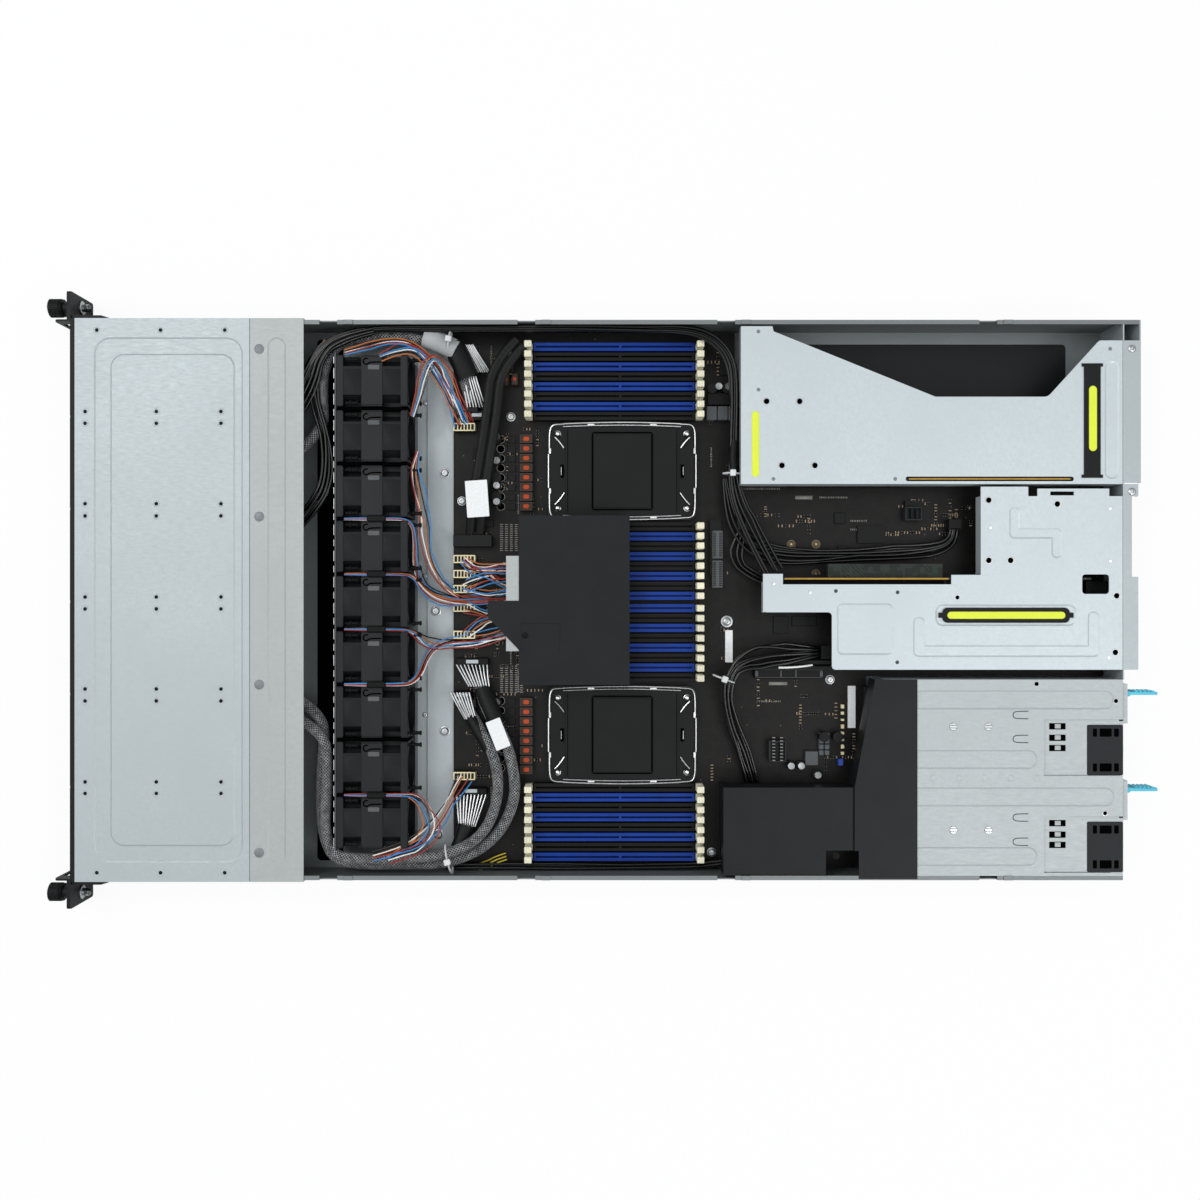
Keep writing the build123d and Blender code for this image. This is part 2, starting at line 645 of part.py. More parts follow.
def floor_bracket():
    """Stepped floor strip behind the fans."""
    x0, x1 = FAN_REAR_X + BRACKET_GAP, BOARD_X - BRACKET_GAP / 2
    y = BOARD_SIDE_Y - 4
    low = block(x0, x1, -y, y, SHEET, 2 * SHEET)
    return [low + block(x1 - BRACKET_STEP_WIDTH, x1, -y, y, SHEET, SHEET + BRACKET_HEIGHT)]


def motherboard():
    """Main board: full width beside the memory, a neck to the rear ports, and a tail to the supplies."""
    full_x = BOARD_X + BOARD_FULL_LENGTH
    tail_x = BOARD_X + BOARD_TAIL_LENGTH
    points = [
        (BOARD_X, BOARD_SIDE_Y),
        (full_x, BOARD_SIDE_Y),
        (full_x, BOARD_NECK_TOP_Y),
        (BOARD_REAR_X, BOARD_NECK_TOP_Y),
        (BOARD_REAR_X, BOARD_NECK_LOW_Y),
        (tail_x, BOARD_NECK_LOW_Y),
        (tail_x, -BOARD_SIDE_Y),
        (BOARD_X, -BOARD_SIDE_Y),
    ]
    return [slab(points, BOARD_TOP - BOARD_THICKNESS, BOARD_TOP)]


def memory_socket(y):
    """One memory socket: a long housing with its module slot and key."""
    half = MEMORY_SOCKET_WIDTH / 2
    body = block(MEMORY_X, MEMORY_X + MEMORY_SOCKET_LENGTH, y - half, y + half, BOARD_TOP, MEMORY_TOP)
    slot_half = MEMORY_SLOT_WIDTH / 2
    key = MEMORY_X + MEMORY_SOCKET_LENGTH * 0.53
    for x0, x1 in ((MEMORY_X + 2, key), (key + 2, MEMORY_X + MEMORY_SOCKET_LENGTH - 2)):
        body -= block(x0, x1, y - slot_half, y + slot_half, MEMORY_TOP - MEMORY_SLOT_DEPTH, MEMORY_TOP + 1)
    return body


def memory_sockets(blue):
    """The blue or the black memory sockets."""
    return [memory_socket(y) for y, is_blue in socket_rows() if is_blue == blue]


def memory_latches():
    """An upright latch at each end of every memory socket, with its hooked top."""
    latches = []
    half = LATCH_WIDTH / 2
    for y, _ in socket_rows():
        for x0, side in ((MEMORY_X - LATCH_LENGTH, 1), (MEMORY_X + MEMORY_SOCKET_LENGTH, -1)):
            x1 = x0 + LATCH_LENGTH
            latch = block(x0, x1, y - half, y + half, BOARD_TOP, BOARD_TOP + LATCH_HEIGHT)
            inner = x1 if side > 0 else x0
            low, high = sorted((inner - side * 2.2, inner + side))
            hook_z = BOARD_TOP + LATCH_HEIGHT - 4
            latch -= block(low, high, y - half - 1, y + half + 1, MEMORY_TOP + 2, hook_z)
            latches.append(latch)
    return latches


def socket_frame(y):
    """Load plate of a processor socket: a raised rim round the contact field, and four studs."""
    half_x, half_y = SOCKET_LENGTH / 2, SOCKET_WIDTH / 2
    x = SOCKET_X + half_x
    top = BOARD_TOP + SOCKET_HEIGHT
    outline = rounded(x - half_x, x + half_x, y - half_y, y + half_y, 7)
    frame = Pos(0, 0, BOARD_TOP) * extrude(outline, SOCKET_HEIGHT)
    half_x, half_y = half_x - SOCKET_RIM, half_y - SOCKET_RIM
    inner = rounded(x - half_x, x + half_x, y - half_y, y + half_y, 4)
    frame -= Pos(0, 0, top - SOCKET_HEIGHT * 0.6) * extrude(inner, SOCKET_HEIGHT)
    return frame


def socket_frames():
    """Both processor sockets."""
    return [socket_frame(y) for y in (UPPER_SOCKET_Y, LOWER_SOCKET_Y)]


def socket_caps():
    """The dust cap on each processor socket, with cut corners round the studs and a raised panel."""
    caps = []
    z0 = BOARD_TOP + SOCKET_HEIGHT
    x = SOCKET_X + SOCKET_LENGTH / 2
    half_x = SOCKET_LENGTH / 2 - CAP_GAP
    half_y = SOCKET_WIDTH / 2 - CAP_GAP - 2
    for y in (UPPER_SOCKET_Y, LOWER_SOCKET_Y):
        cap = Pos(x, y, z0) * extrude(RectangleRounded(2 * half_x, 2 * half_y, 5), CAP_THICKNESS)
        panel = Pos(x, y, z0 + CAP_THICKNESS) * extrude(
            RectangleRounded(CAP_PANEL_LENGTH, CAP_PANEL_WIDTH, 1), CAP_PANEL_RISE
        )
        cap += panel
        for side in (-1, 1):
            ridge = x + side * (half_x - 14)
            cap += block(ridge - 0.6, ridge + 0.6, y - half_y, y + half_y, z0, z0 + CAP_THICKNESS + 1)
            for end in (-1, 1):
                stud_x, stud_y = x + side * (half_x - 6.5), y + end * (half_y - 6.5)
                cap += rod_z(stud_x, stud_y, z0, z0 + CAP_THICKNESS + 1.6, SOCKET_STUD_RADIUS)
        caps.append(cap)
    return caps


def choke_rows():
    """Centres of the eight power chokes beside each processor socket."""
    x = SOCKET_X - CHOKE_SETBACK
    rows = []
    for middle in (UPPER_SOCKET_Y, LOWER_SOCKET_Y):
        for place in range(8):
            rows.append((x, middle + (3.5 - place) * CHOKE_PITCH - 1.0))
    return rows


def standing(x, y, length, width, height):
    """A block that stands on the board, round its middle."""
    half_x, half_y = length / 2, width / 2
    return block(x - half_x, x + half_x, y - half_y, y + half_y, BOARD_TOP, BOARD_TOP + height)


def board_parts():
    """What stands on the board: chokes, can capacitors, headers, plugs, card slots, chips and rear ports."""
    parts = [standing(x, y, CHOKE_LENGTH, CHOKE_WIDTH, CHOKE_HEIGHT) for x, y in choke_rows()]
    cans = [(x - CAN_ROW_OFFSET, y) for x, y in choke_rows()[::2]]
    cans += [(RISER_ONE_X - 20, BANK_MIDDLE_Y), (RISER_ONE_X - 8, BANK_MIDDLE_Y)]
    cans += [(PSU_FRONT_X - 44, PSU_ONE_Y - 9.5), (PSU_FRONT_X - 33, PSU_ONE_Y - 9.5)]
    for x, y in cans:
        parts.append(rod_z(x, y, BOARD_TOP, BOARD_TOP + CAN_HEIGHT, CAN_RADIUS))
    header_x = BOARD_X + BOARD_PART_MARGIN + HEADER_LENGTH / 2
    for y in HEADER_ROWS_Y:
        parts.append(standing(header_x, y, HEADER_LENGTH, HEADER_WIDTH, HEADER_HEIGHT))
    flat_x = BOARD_X + BOARD_PART_MARGIN + FLAT_PLUG_LENGTH / 2
    parts.append(standing(flat_x, FLAT_PLUG_Y - FLAT_PLUG_WIDTH / 2, FLAT_PLUG_LENGTH, FLAT_PLUG_WIDTH, 10))
    plugs = (
        (MEMORY_X - 45, LOOM_PLUG_Y + PLUG_WIDTH / 2),
        (MEMORY_X - 52, INNER_PLUG_Y + PLUG_WIDTH / 2),
        (BOARD_X + 14, UPPER_PLUG_Y - PLUG_WIDTH / 2),
        (RISER_TWO_X - 4.5, DROP_PLUG_Y - PLUG_WIDTH / 2),
    )
    for x, y in plugs:
        parts.append(standing(x, y, PLUG_LENGTH, PLUG_WIDTH, PLUG_LENGTH))
    parts.append(standing(SLOT_TWO_X + 33, BOARD_NECK_LOW_Y + 19.8, PLUG_LENGTH, 10.4, 16))
    parts.append(standing(RISER_TWO_X + 157, BUNDLE_PLUG_Y + 3.5, 10, 7, 11))
    chip_x = SOCKET_X + SOCKET_LENGTH + 15.5
    for y in (UPPER_SOCKET_Y - 73, UPPER_SOCKET_Y - 50):
        parts.append(standing(chip_x, y, 9, 22, 4))
    for x, y in ((SLOT_ONE_X, RISER_ONE_BOARD_Y), (SLOT_TWO_X, RISER_TWO_BOARD_Y)):
        parts.append(card_slot(x, y, BOARD_TOP))
    parts.append(card_slot(SLOT_TWO_X - 25, BOARD_NECK_LOW_Y + 2 + RISER_SLOT_WIDTH, BOARD_TOP))
    parts.append(standing(RISER_TWO_X + 91.8, RISER_TWO_TOP_Y - 28, 22, 14, 2))
    parts.append(standing(RISER_TWO_X + 125.8, RISER_TWO_TOP_Y - 7.5, 14, 13, 3))
    for y in (PSU_ONE_Y, PSU_TWO_Y):
        parts.append(power_socket(y))
    for inset, width, height in REAR_PORTS:
        y = BOARD_NECK_TOP_Y - inset - width / 2
        parts.append(standing(REAR_IN_X - PORT_DEPTH / 2, y, PORT_DEPTH, width, height))
    return parts


def card_slot(x, y, z):
    """Upright edge-card socket that takes a riser board's tongue."""
    half = RISER_SLOT_WIDTH / 2
    groove = RISER_BOARD_THICKNESS / 2 + 0.2
    slot = block(x - 2, x + RISER_SLOT_LENGTH + 2, y - half, y + half, z, z + RISER_SLOT_HEIGHT)
    return slot - block(
        x - 0.3, x + RISER_SLOT_LENGTH + 0.3, y - groove, y + groove, z + 4, z + RISER_SLOT_HEIGHT + 1
    )


def power_socket(y):
    """Connector on the board's tail that takes a power supply's edge tab."""
    x1 = PSU_FRONT_X - RUNNING_GAP
    x0 = x1 - 12
    z = BOARD_TOP
    body = block(x0, x1, y - 31, y + 31, z, z + POWER_SOCKET_HEIGHT)
    return body - block(x1 - PSU_TAB_LENGTH - 1, x1 + 1, y - 28.4, y + 28.4, z + 4.4, z + 7.2)


def air_baffle():
    """Black sheet over the middle memory bank, with two turned-down sides."""
    x0 = BOARD_X + BAFFLE_START
    x1 = x0 + BAFFLE_LENGTH
    z0 = BAFFLE_Z - BAFFLE_SHEET
    baffle = block(x0, x1, BAFFLE_LOW_Y, BAFFLE_TOP_Y, z0, BAFFLE_Z)
    frame_top = BOARD_TOP + SOCKET_HEIGHT
    leg = SOCKET_X + 12
    baffle += block(leg, x1, BAFFLE_TOP_Y - BAFFLE_SHEET, BAFFLE_TOP_Y, frame_top, BAFFLE_Z)
    baffle += block(leg, x1, BAFFLE_LOW_Y, BAFFLE_LOW_Y + BAFFLE_SHEET, BOARD_TOP, BAFFLE_Z)
    tongue = [
        (x0, BAFFLE_BRACKET_LOW_Y + 1),
        (x0 - BAFFLE_TONGUE_LENGTH, BAFFLE_TONGUE_LOW_Y),
        (x0 - BAFFLE_TONGUE_LENGTH, BAFFLE_TONGUE_TOP_Y),
        (x0, BAFFLE_TONGUE_TOP_Y),
    ]
    return [baffle + cut_sheet(tongue, ((1, 2.0), (2, 0.8)), z0, BAFFLE_Z)]


def baffle_bracket():
    """Bent metal bracket that carries the front edge of the baffle."""
    x1 = BOARD_X + BAFFLE_START + 1.5
    x0 = x1 - BAFFLE_BRACKET_LENGTH
    top = BAFFLE_Z - BAFFLE_SHEET
    low, high = BAFFLE_BRACKET_LOW_Y, BAFFLE_BRACKET_TOP_Y
    bracket = block(x0, x1, low, high, top - SHEET, top)
    bracket += block(x1 - SHEET, x1, low, high, BOARD_TOP, top)
    return [bracket + block(x1 - 7, x1, low, high, BOARD_TOP, BOARD_TOP + SHEET)]


def psu_cage():
    """Top and partitions round the power supplies, cut back over each fan."""
    x0, x1 = PSU_FRONT_X, REAR_IN_X
    cage = block(x0, x1, -WALL_IN + LIP, CAGE_SIDE_Y + SHEET, CAGE_TOP - SHEET, CAGE_TOP)
    for middle in (PSU_ONE_Y, PSU_TWO_Y):
        y0 = middle - PSU_WIDTH / 2
        cut_x, y1 = x1 - CAGE_CUT_LENGTH, y0 + CAGE_CUT_WIDTH
        cage -= block(cut_x, x1 + 1, y0, y1, CAGE_TOP - 2 * SHEET, CAGE_TOP + SHEET)
    cage += block(x0, x1, CAGE_SIDE_Y, CAGE_SIDE_Y + SHEET, SHEET, CAGE_TOP)
    cage += block(x0, x1, CAGE_MIDDLE_Y - SHEET / 2, CAGE_MIDDLE_Y + SHEET / 2, SHEET, CAGE_TOP)
    half = CAGE_RIB_WIDTH / 2
    for supply_y in (PSU_ONE_Y, PSU_TWO_Y):
        for middle, length in (
            (supply_y + CAGE_RIB_OFFSET_HIGH, CAGE_RIB_LONG),
            (supply_y - CAGE_RIB_OFFSET_LOW, CAGE_RIB_SHORT),
        ):
            rib = (x0 + CAGE_RIB_START, x0 + CAGE_RIB_START + length, middle - half, middle + half, half)
            cage -= sunk(*rib, CAGE_TOP, SHEET / 2)
    return [cage]


def psu(y):
    """Pluggable power supply: the case, its rear fan body, the inlet face and the front edge tab."""
    x0, x1 = PSU_FRONT_X, REAR_X
    low, high = y - PSU_WIDTH / 2, y + PSU_WIDTH / 2
    z0, z1 = PSU_BOTTOM, PSU_BOTTOM + PSU_HEIGHT
    fan_x = x1 - PSU_FAN_LENGTH
    fan_y1 = low + FAN_SIZE
    case = block(x0, x1, low, high, z0, z1)
    case -= block(fan_x, x1 + 1, low - 1, fan_y1, z0 - 1, z1 + 1)
    vents = [block(x1 - 58, x1 - 45, low + side, low + side + 5, z1 - 5, z1 + 1) for side in (19, 27, 36)]
    case -= vents
    case += block(x0 - PSU_TAB_LENGTH, x0, y - 28, y + 28, BOARD_TOP + 5, BOARD_TOP + 6.6)
    middle_y, middle_z = low + FAN_SIZE / 2, z0 + FAN_SIZE / 2
    fan = block(fan_x, x1, low, fan_y1, z0, z1)
    fan -= rod_x(fan_x + 2, x1 + 1, middle_y, middle_z, FAN_BORE_RADIUS)
    for corner_y in (low + 1.5, fan_y1 - 8.5):
        fan -= block(fan_x + 5, x1 - 4, corner_y, corner_y + 7, z1 - 2, z1 + 1)
    inlet = block(x1, x1 + PSU_BEZEL_DEPTH, fan_y1 + 0.5, fan_y1 + 0.5 + PSU_BEZEL_WIDTH, z0 + 2, z1 - 2)
    inlet -= block(x1 + 1, x1 + PSU_BEZEL_DEPTH + 1, fan_y1 + 3, fan_y1 + 27, z0 + 6, z0 + 24)
    return [case, fan, inlet]


def psu_rotor(y):
    """Wheel of a power supply's own fan."""
    x = REAR_X - PSU_FAN_LENGTH + 2 + RUNNING_GAP + ROTOR_LENGTH / 2
    middle = Pos(x, y - PSU_WIDTH / 2 + FAN_SIZE / 2, PSU_BOTTOM + FAN_SIZE / 2)
    return [middle * impeller(ROTOR_LENGTH, 1)]


def psu_latch(y):
    """Release lever of a power supply: a flat tab that is squeezed sideways."""
    x0 = REAR_X + PSU_BEZEL_DEPTH + RUNNING_GAP
    x1 = REAR_X + PSU_BEZEL_DEPTH + PSU_LATCH_REACH
    edge = y - PSU_WIDTH / 2 + FAN_SIZE + 0.5 + PSU_BEZEL_WIDTH
    y0 = edge - 9
    z0 = PSU_BOTTOM + PSU_HEIGHT - 6 - PSU_LATCH_HEIGHT
    z1 = z0 + PSU_LATCH_HEIGHT
    lever = block(x0 + 1, x1, y0, y0 + PSU_LATCH_SHEET, z0, z1)
    lever = fillet(lever.edges().filter_by(Axis.Y).group_by(Axis.X)[-1], 3.0)
    for ridge in range(PSU_LATCH_RIDGES):
        x = x1 - 4 - ridge * PSU_LATCH_RIDGE_PITCH
        lever += rod_z(x, y0 + PSU_LATCH_SHEET, z0 + 1.5, z1 - 1.5, PSU_LATCH_RIDGE_RADIUS)
    return [lever + rod_z(x0 + 2, y0 + PSU_HINGE_OFFSET, z0, z1, PSU_HINGE_RADIUS)]


def power_baffle():
    """Black cover over the power connectors, and the slanted duct that meets the supplies."""
    duct_x1 = PSU_FRONT_X + 23.5
    duct_x0 = duct_x1 - POWER_DUCT_LENGTH
    cover_x0 = duct_x0 - POWER_COVER_LENGTH
    top = CAGE_TOP + POWER_SHEET
    low, high = -WALL_IN + LIP, -WALL_IN + LIP + POWER_COVER_WIDTH
    side_y = CAGE_SIDE_Y + SHEET
    cover_top = top - 2
    cover = block(cover_x0, duct_x0 - 0.4, low, high, cover_top - POWER_SHEET, cover_top)
    cover += block(cover_x0, cover_x0 + POWER_SHEET, low, high, BOARD_TOP, cover_top)
    cover += block(cover_x0, duct_x0 - 0.4, high - POWER_SHEET, high, BOARD_TOP + 12, cover_top)
    window = block(
        duct_x0 - 22, duct_x0 + 1, low - 1, low + POWER_WINDOW_WIDTH, cover_top - 2, cover_top + 1
    )
    cover -= window
    cover -= block(cover_x0 - 1, cover_x0 + 1, low, low + 24, BOARD_TOP + 2, BOARD_TOP + 16)
    slope = POWER_DUCT_SLANT
    outline = [
        (duct_x0 + slope, side_y),
        (duct_x1, side_y),
        (duct_x1, -WALL_IN),
        (duct_x0, -WALL_IN),
        (duct_x0, high),
    ]
    duct = slab(outline, CAGE_TOP, top)
    wall = [
        (duct_x0 + slope, side_y),
        (duct_x0 + slope + 1, side_y),
        (duct_x0 + 1, high),
        (duct_x0, high),
    ]
    duct += slab(wall, BOARD_TOP + POWER_SOCKET_HEIGHT + 1, top)
    duct -= block(
        duct_x0 - 1,
        duct_x0 + POWER_WINDOW_LENGTH - 22,
        -WALL_IN - 1,
        low + POWER_WINDOW_WIDTH,
        CAGE_TOP - 1,
        top + 1,
    )
    return [cover, duct]


def rear_panel():
    """Rear wall with its card windows, port cut-outs and outward card shelves."""
    side = CAGE_SIDE_Y + SHEET
    wall = block(REAR_IN_X, REAR_X, side, WALL_IN, 0, LID_UNDER)
    cut_x0, cut_x1 = REAR_IN_X - 1, REAR_X + 1
    cuts = [
        block(cut_x0, cut_x1, RISER_ONE_LOW_Y + 4, RISER_ONE_CORNER_Y - 3, PORT_Z, WINDOW_TOP_Z),
        block(cut_x0, cut_x1, RISER_TWO_BOARD_Y + 5, RISER_TWO_TOP_Y - 2, CARD_WINDOW_Z, WINDOW_TOP_Z),
        block(cut_x0, cut_x1, RISER_TWO_LOW_Y + 4, RISER_TWO_STEP_Y - 3, CARD_WINDOW_Z, WINDOW_TOP_Z),
    ]
    for inset, width, height in REAR_PORTS:
        y1 = BOARD_NECK_TOP_Y - inset - PORT_MARGIN
        y0 = y1 - width + 2 * PORT_MARGIN
        cuts.append(block(cut_x0, cut_x1, y0, y1, BOARD_TOP + 1, BOARD_TOP + height - 1))
    cuts.append(block(cut_x0, cut_x1, WALL_IN - LIP, WALL_IN + 1, LID_UNDER - SHEET, LID_UNDER + 1))
    wall -= cuts
    for y0, y1, depth in (
        (RISER_ONE_LOW_Y + 1, RISER_ONE_CORNER_Y, SHELF_DEPTH),
        (RISER_TWO_TOP_Y, RISER_ONE_LOW_Y, SHELF_DEPTH - 2),
        (RISER_TWO_STEP_Y + 6, RISER_TWO_TOP_Y, SHELF_DEPTH - 7),
        (RISER_TWO_LOW_Y, RISER_TWO_STEP_Y + 6, SHELF_DEPTH - 2),
    ):
        wall += block(REAR_X, REAR_X + depth, y0, y1, LID_UNDER - SHEET, LID_UNDER)
        wall += block(REAR_X + depth - SHEET, REAR_X + depth, y0, y1, LID_UNDER - 4, LID_UNDER)
    wall += block(REAR_X, SHELF_END_X, RISER_ONE_CORNER_Y - SHEET, RISER_ONE_CORNER_Y, 0, LID_UNDER)
    wall += block(SHELF_END_X - SHEET, SHELF_END_X, RISER_ONE_CORNER_Y, WALL_OUT, 0, LID_UNDER)
    return [wall]


def riser_one_cage():
    """Long riser cage: the cut-out top, its board slot, the side wall and the rear card plate."""
    x0, x1 = RISER_ONE_X, RISER_END_X
    low, corner = RISER_ONE_LOW_Y, RISER_ONE_CORNER_Y
    points = [
        (x0, low),
        (x0, RISER_ONE_TOP_Y - LIP),
        (x0 + RISER_ONE_TAB_X, RISER_ONE_TOP_Y - LIP),
        (x0 + RISER_ONE_TAB_X + 1, RISER_ONE_TOP_Y - LIP - 4),
        (x1 - RISER_ONE_DIAGONAL_END, RISER_ONE_EDGE_Y),
        (x1 - RISER_ONE_NOTCH_END, RISER_ONE_EDGE_Y),
        (x1 - RISER_ONE_SHOULDER, corner),
        (x1, corner),
        (x1, low),
    ]
    z0, z1 = LID_UNDER - SHEET, LID_UNDER
    cage = cut_sheet(points, ((4, 2.0), (5, RISER_ONE_NOTCH_RADIUS), (6, 4.0)), z0, z1)
    slot_end = x1 - RISER_ONE_SLOT_END
    slot_y = RISER_ONE_BOARD_Y
    slot = rounded(slot_end - RISER_ONE_CARD_SLOT, slot_end, slot_y - 1.8, slot_y + 1.8, 1.7)
    cage -= Pos(0, 0, z0 - 1) * extrude(slot, 3)
    for x, y in ((20, 64.5), (45.8, 64.5), (32, 14.5), (57.7, 14.5)):
        cage -= rod_z(x0 + x, low + y, z0 - 1, z1 + 1, 2.1)
    cage -= sunk(x1 - 14, x1 - 2.5, low + 4, low + 96, 5.5, z1, SHEET / 2)
    cage += block(x0, x1, low, low + SHEET, RISER_WALL_BOTTOM, z1)
    cage += block(x0, x0 + SHEET, low, RISER_ONE_TOP_Y - LIP, z1 - 9, z1)
    cage += block(x1 - SHEET, x1, low, corner, RISER_WALL_BOTTOM - 8, z1)
    cage -= block(x1 - 2, x1 + 1, low + 8, low + 26, RISER_WALL_BOTTOM - 6, z1 - 4)
    vents = []
    for vent in range(10):
        y = low + 34 + vent * 7.0
        vents.append(block(x1 - 2, x1 + 1, y, y + 4.6, RISER_WALL_BOTTOM - 3, z1 - 6))
    return [cage - vents]


def riser_board(x0, x1, y, slot_x, edge_x0, edge_x1):
    """Upright riser card with its tongue, a raised top edge, and the card socket on one side."""
    half = RISER_BOARD_THICKNESS / 2
    slot_top = BOARD_TOP + RISER_SLOT_HEIGHT
    top = LID_UNDER - SHEET - RUNNING_GAP
    card = block(x0, x1, y - half, y + half, slot_top + 0.5, top)
    card += block(slot_x, slot_x + RISER_SLOT_LENGTH, y - half, y + half, BOARD_TOP + 4.5, slot_top + 1)
    card += block(edge_x0, edge_x1, y - half, y + half, top - 1, LID_UNDER - 0.2)
    return card


def riser_one_board():
    """Riser one's card, and the socket that takes a full-height card."""
    x1 = RISER_END_X - RISER_ONE_SLOT_END
    y = RISER_ONE_BOARD_Y
    card = riser_board(RISER_ONE_X + 30, x1 - 1, y, SLOT_ONE_X, x1 - RISER_ONE_CARD_SLOT + 2.2, x1 - 3)
    y0 = y + RISER_BOARD_THICKNESS / 2
    socket = block(x1 - 118, x1 - 28, y0, y0 + RISER_SLOT_HEIGHT, 27, 34.5)
    socket -= block(x1 - 116, x1 - 30, y0 + 4, y0 + RISER_SLOT_HEIGHT + 1, 29.8, 31.7)
    return [card, socket]


def riser_one_strap():
    """Flexible pull strap that arches over riser one's cage."""
    x = RISER_END_X - RISER_ONE_STRAP_X
    y0 = RISER_ONE_LOW_Y + RISER_ONE_STRAP_MARGIN
    y1 = y0 + RISER_ONE_STRAP_LENGTH
    top = LID_UNDER + STRAP_THICKNESS
    half = STRAP_WIDTH / 2
    end = half + STRAP_END_WIDTH
    strap = block(x - half, x + half, y0, y1, LID_UNDER, top)
    for y in (y0, y1):
        strap += block(x - end, x + end, y - STRAP_END_LENGTH / 2, y + STRAP_END_LENGTH / 2, LID_UNDER, top)
    return [strap]


def riser_two_cage():
    """Cranked riser cage: head, neck and body tops, with side walls and the rear card plate."""
    x0, x1 = RISER_TWO_X, RISER_END_X
    body_x = x1 - RISER_TWO_BODY_LENGTH
    head_x = x1 - RISER_TWO_HEAD_LENGTH
    edge = RISER_TWO_STEP_Y
    points = [
        (x0, RISER_TWO_NECK_Y),
        (x0, edge + 8.2),
        (x0 + 15.5, edge + 8.2),
        (x0 + 15.5, edge),
        (head_x - 23, edge),
        (head_x - 23, edge + 7.4),
        (head_x, edge + 7.4),
        (head_x, RISER_TWO_TOP_Y + 7.4),
        (head_x + 37, RISER_TWO_TOP_Y + 7.4),
        (head_x + 37, RISER_TWO_TOP_Y),
        (x1, RISER_TWO_TOP_Y),
        (x1, RISER_TWO_LOW_Y),
        (body_x, RISER_TWO_LOW_Y),
        (body_x, RISER_TWO_NECK_Y),
    ]
    z0, z1 = LID_UNDER - SHEET, LID_UNDER
    cage = cut_sheet(points, ((0, 3.0), (12, 3.0), (13, 3.0)), z0, z1)
    cage = pressed(cage, riser_two_ribs(x1, head_x, body_x), z1)
    window = rounded(x1 - 31.5, x1 - 31.5 + RISER_TWO_WINDOW, edge - 7.5, edge + 7.8, 2.5)
    cage -= Pos(0, 0, z0 - 1) * extrude(window, 3)
    clamp_x = x1 - 10.4 - RISER_TWO_CLAMP_LENGTH
    clamp_top = RISER_TWO_TOP_Y + RISER_TWO_CLAMP_WIDTH
    cage += block(clamp_x, clamp_x + RISER_TWO_CLAMP_LENGTH, RISER_TWO_TOP_Y - 1, clamp_top, z0, z1)
    cage -= block(clamp_x + 10, clamp_x + 28.5, RISER_TWO_TOP_Y + 0.6, clamp_top - 2.2, z0 - 1, z1 + 1)
    top = RISER_TWO_TOP_Y
    for x, y in (
        (body_x + 98, edge - 10.2),
        (head_x + 6, top - 3),
        (head_x + 59.5, top - 6),
        (head_x + 23, top - 50),
        (head_x + 6, top - 50),
    ):
        cage -= rod_z(x, y, z0 - 2, z1 + 1, 1.6)
    cage += block(body_x + 8, x1, RISER_TWO_LOW_Y, RISER_TWO_LOW_Y + SHEET, RISER_WALL_BOTTOM, z1)
    cage += block(x0, x0 + SHEET, RISER_TWO_NECK_Y, edge + 2, z1 - 9, z1)
    cage += block(head_x, head_x + SHEET, edge + 8, RISER_TWO_TOP_Y, RISER_WALL_BOTTOM + 6, z1)
    rear = block(x1 - SHEET, x1, RISER_TWO_LOW_Y, RISER_TWO_TOP_Y, RISER_WALL_BOTTOM, z1)
    vents = []
    for vent in range(16):
        y = RISER_TWO_LOW_Y + 8 + vent * 7.6
        if abs(y - RISER_TWO_BOARD_Y) > 9:
            vents.append(block(x1 - 2, x1 + 1, y, y + 4.6, RISER_WALL_BOTTOM + 3, z1 - 6))
    return [cage + (rear - vents)]


def riser_two_ribs(x1, head_x, body_x):
    """Pressed areas of riser two's top: a square panel, the handle's pocket, a cranked rib and a U groove."""
    low, top = RISER_TWO_LOW_Y, RISER_TWO_TOP_Y
    width, radius = RISER_TWO_RIB_WIDTH, RISER_TWO_RIB_WIDTH / 2
    groove, groove_radius = RISER_TWO_GROOVE_WIDTH, RISER_TWO_GROOVE_WIDTH / 2
    rib_x, rib_y = head_x + 22.2, top - 33.2
    rib_end = rib_x + 41.3
    groove_x, groove_y = x1 - 163.4, low + 9.8
    groove_end = x1 - 17.8
    panel_x, panel_y = body_x + 4, low + 11.5
    handle_x = x1 - HANDLE_END - HANDLE_LENGTH - HANDLE_POCKET_MARGIN
    half = HANDLE_WIDTH / 2 + HANDLE_POCKET_MARGIN
    return [
        (panel_x, panel_x + RISER_TWO_PANEL_LENGTH, panel_y, panel_y + RISER_TWO_PANEL_WIDTH, 4.5),
        (handle_x, x1 - HANDLE_END + HANDLE_POCKET_MARGIN, HANDLE_Y - half, HANDLE_Y + half, 6.0),
        (rib_x, rib_x + width, rib_y, top - 8.2, radius),
        (rib_x, rib_end, rib_y, rib_y + width, radius),
        (rib_end - width, rib_end, top - 48.5, rib_y + width, radius),
        (groove_x, groove_x + groove, groove_y, low + 41.4, groove_radius),
        (groove_x, groove_end, groove_y, groove_y + groove, groove_radius),
        (groove_end - groove, groove_end, groove_y, low + 45.7, groove_radius),
    ]


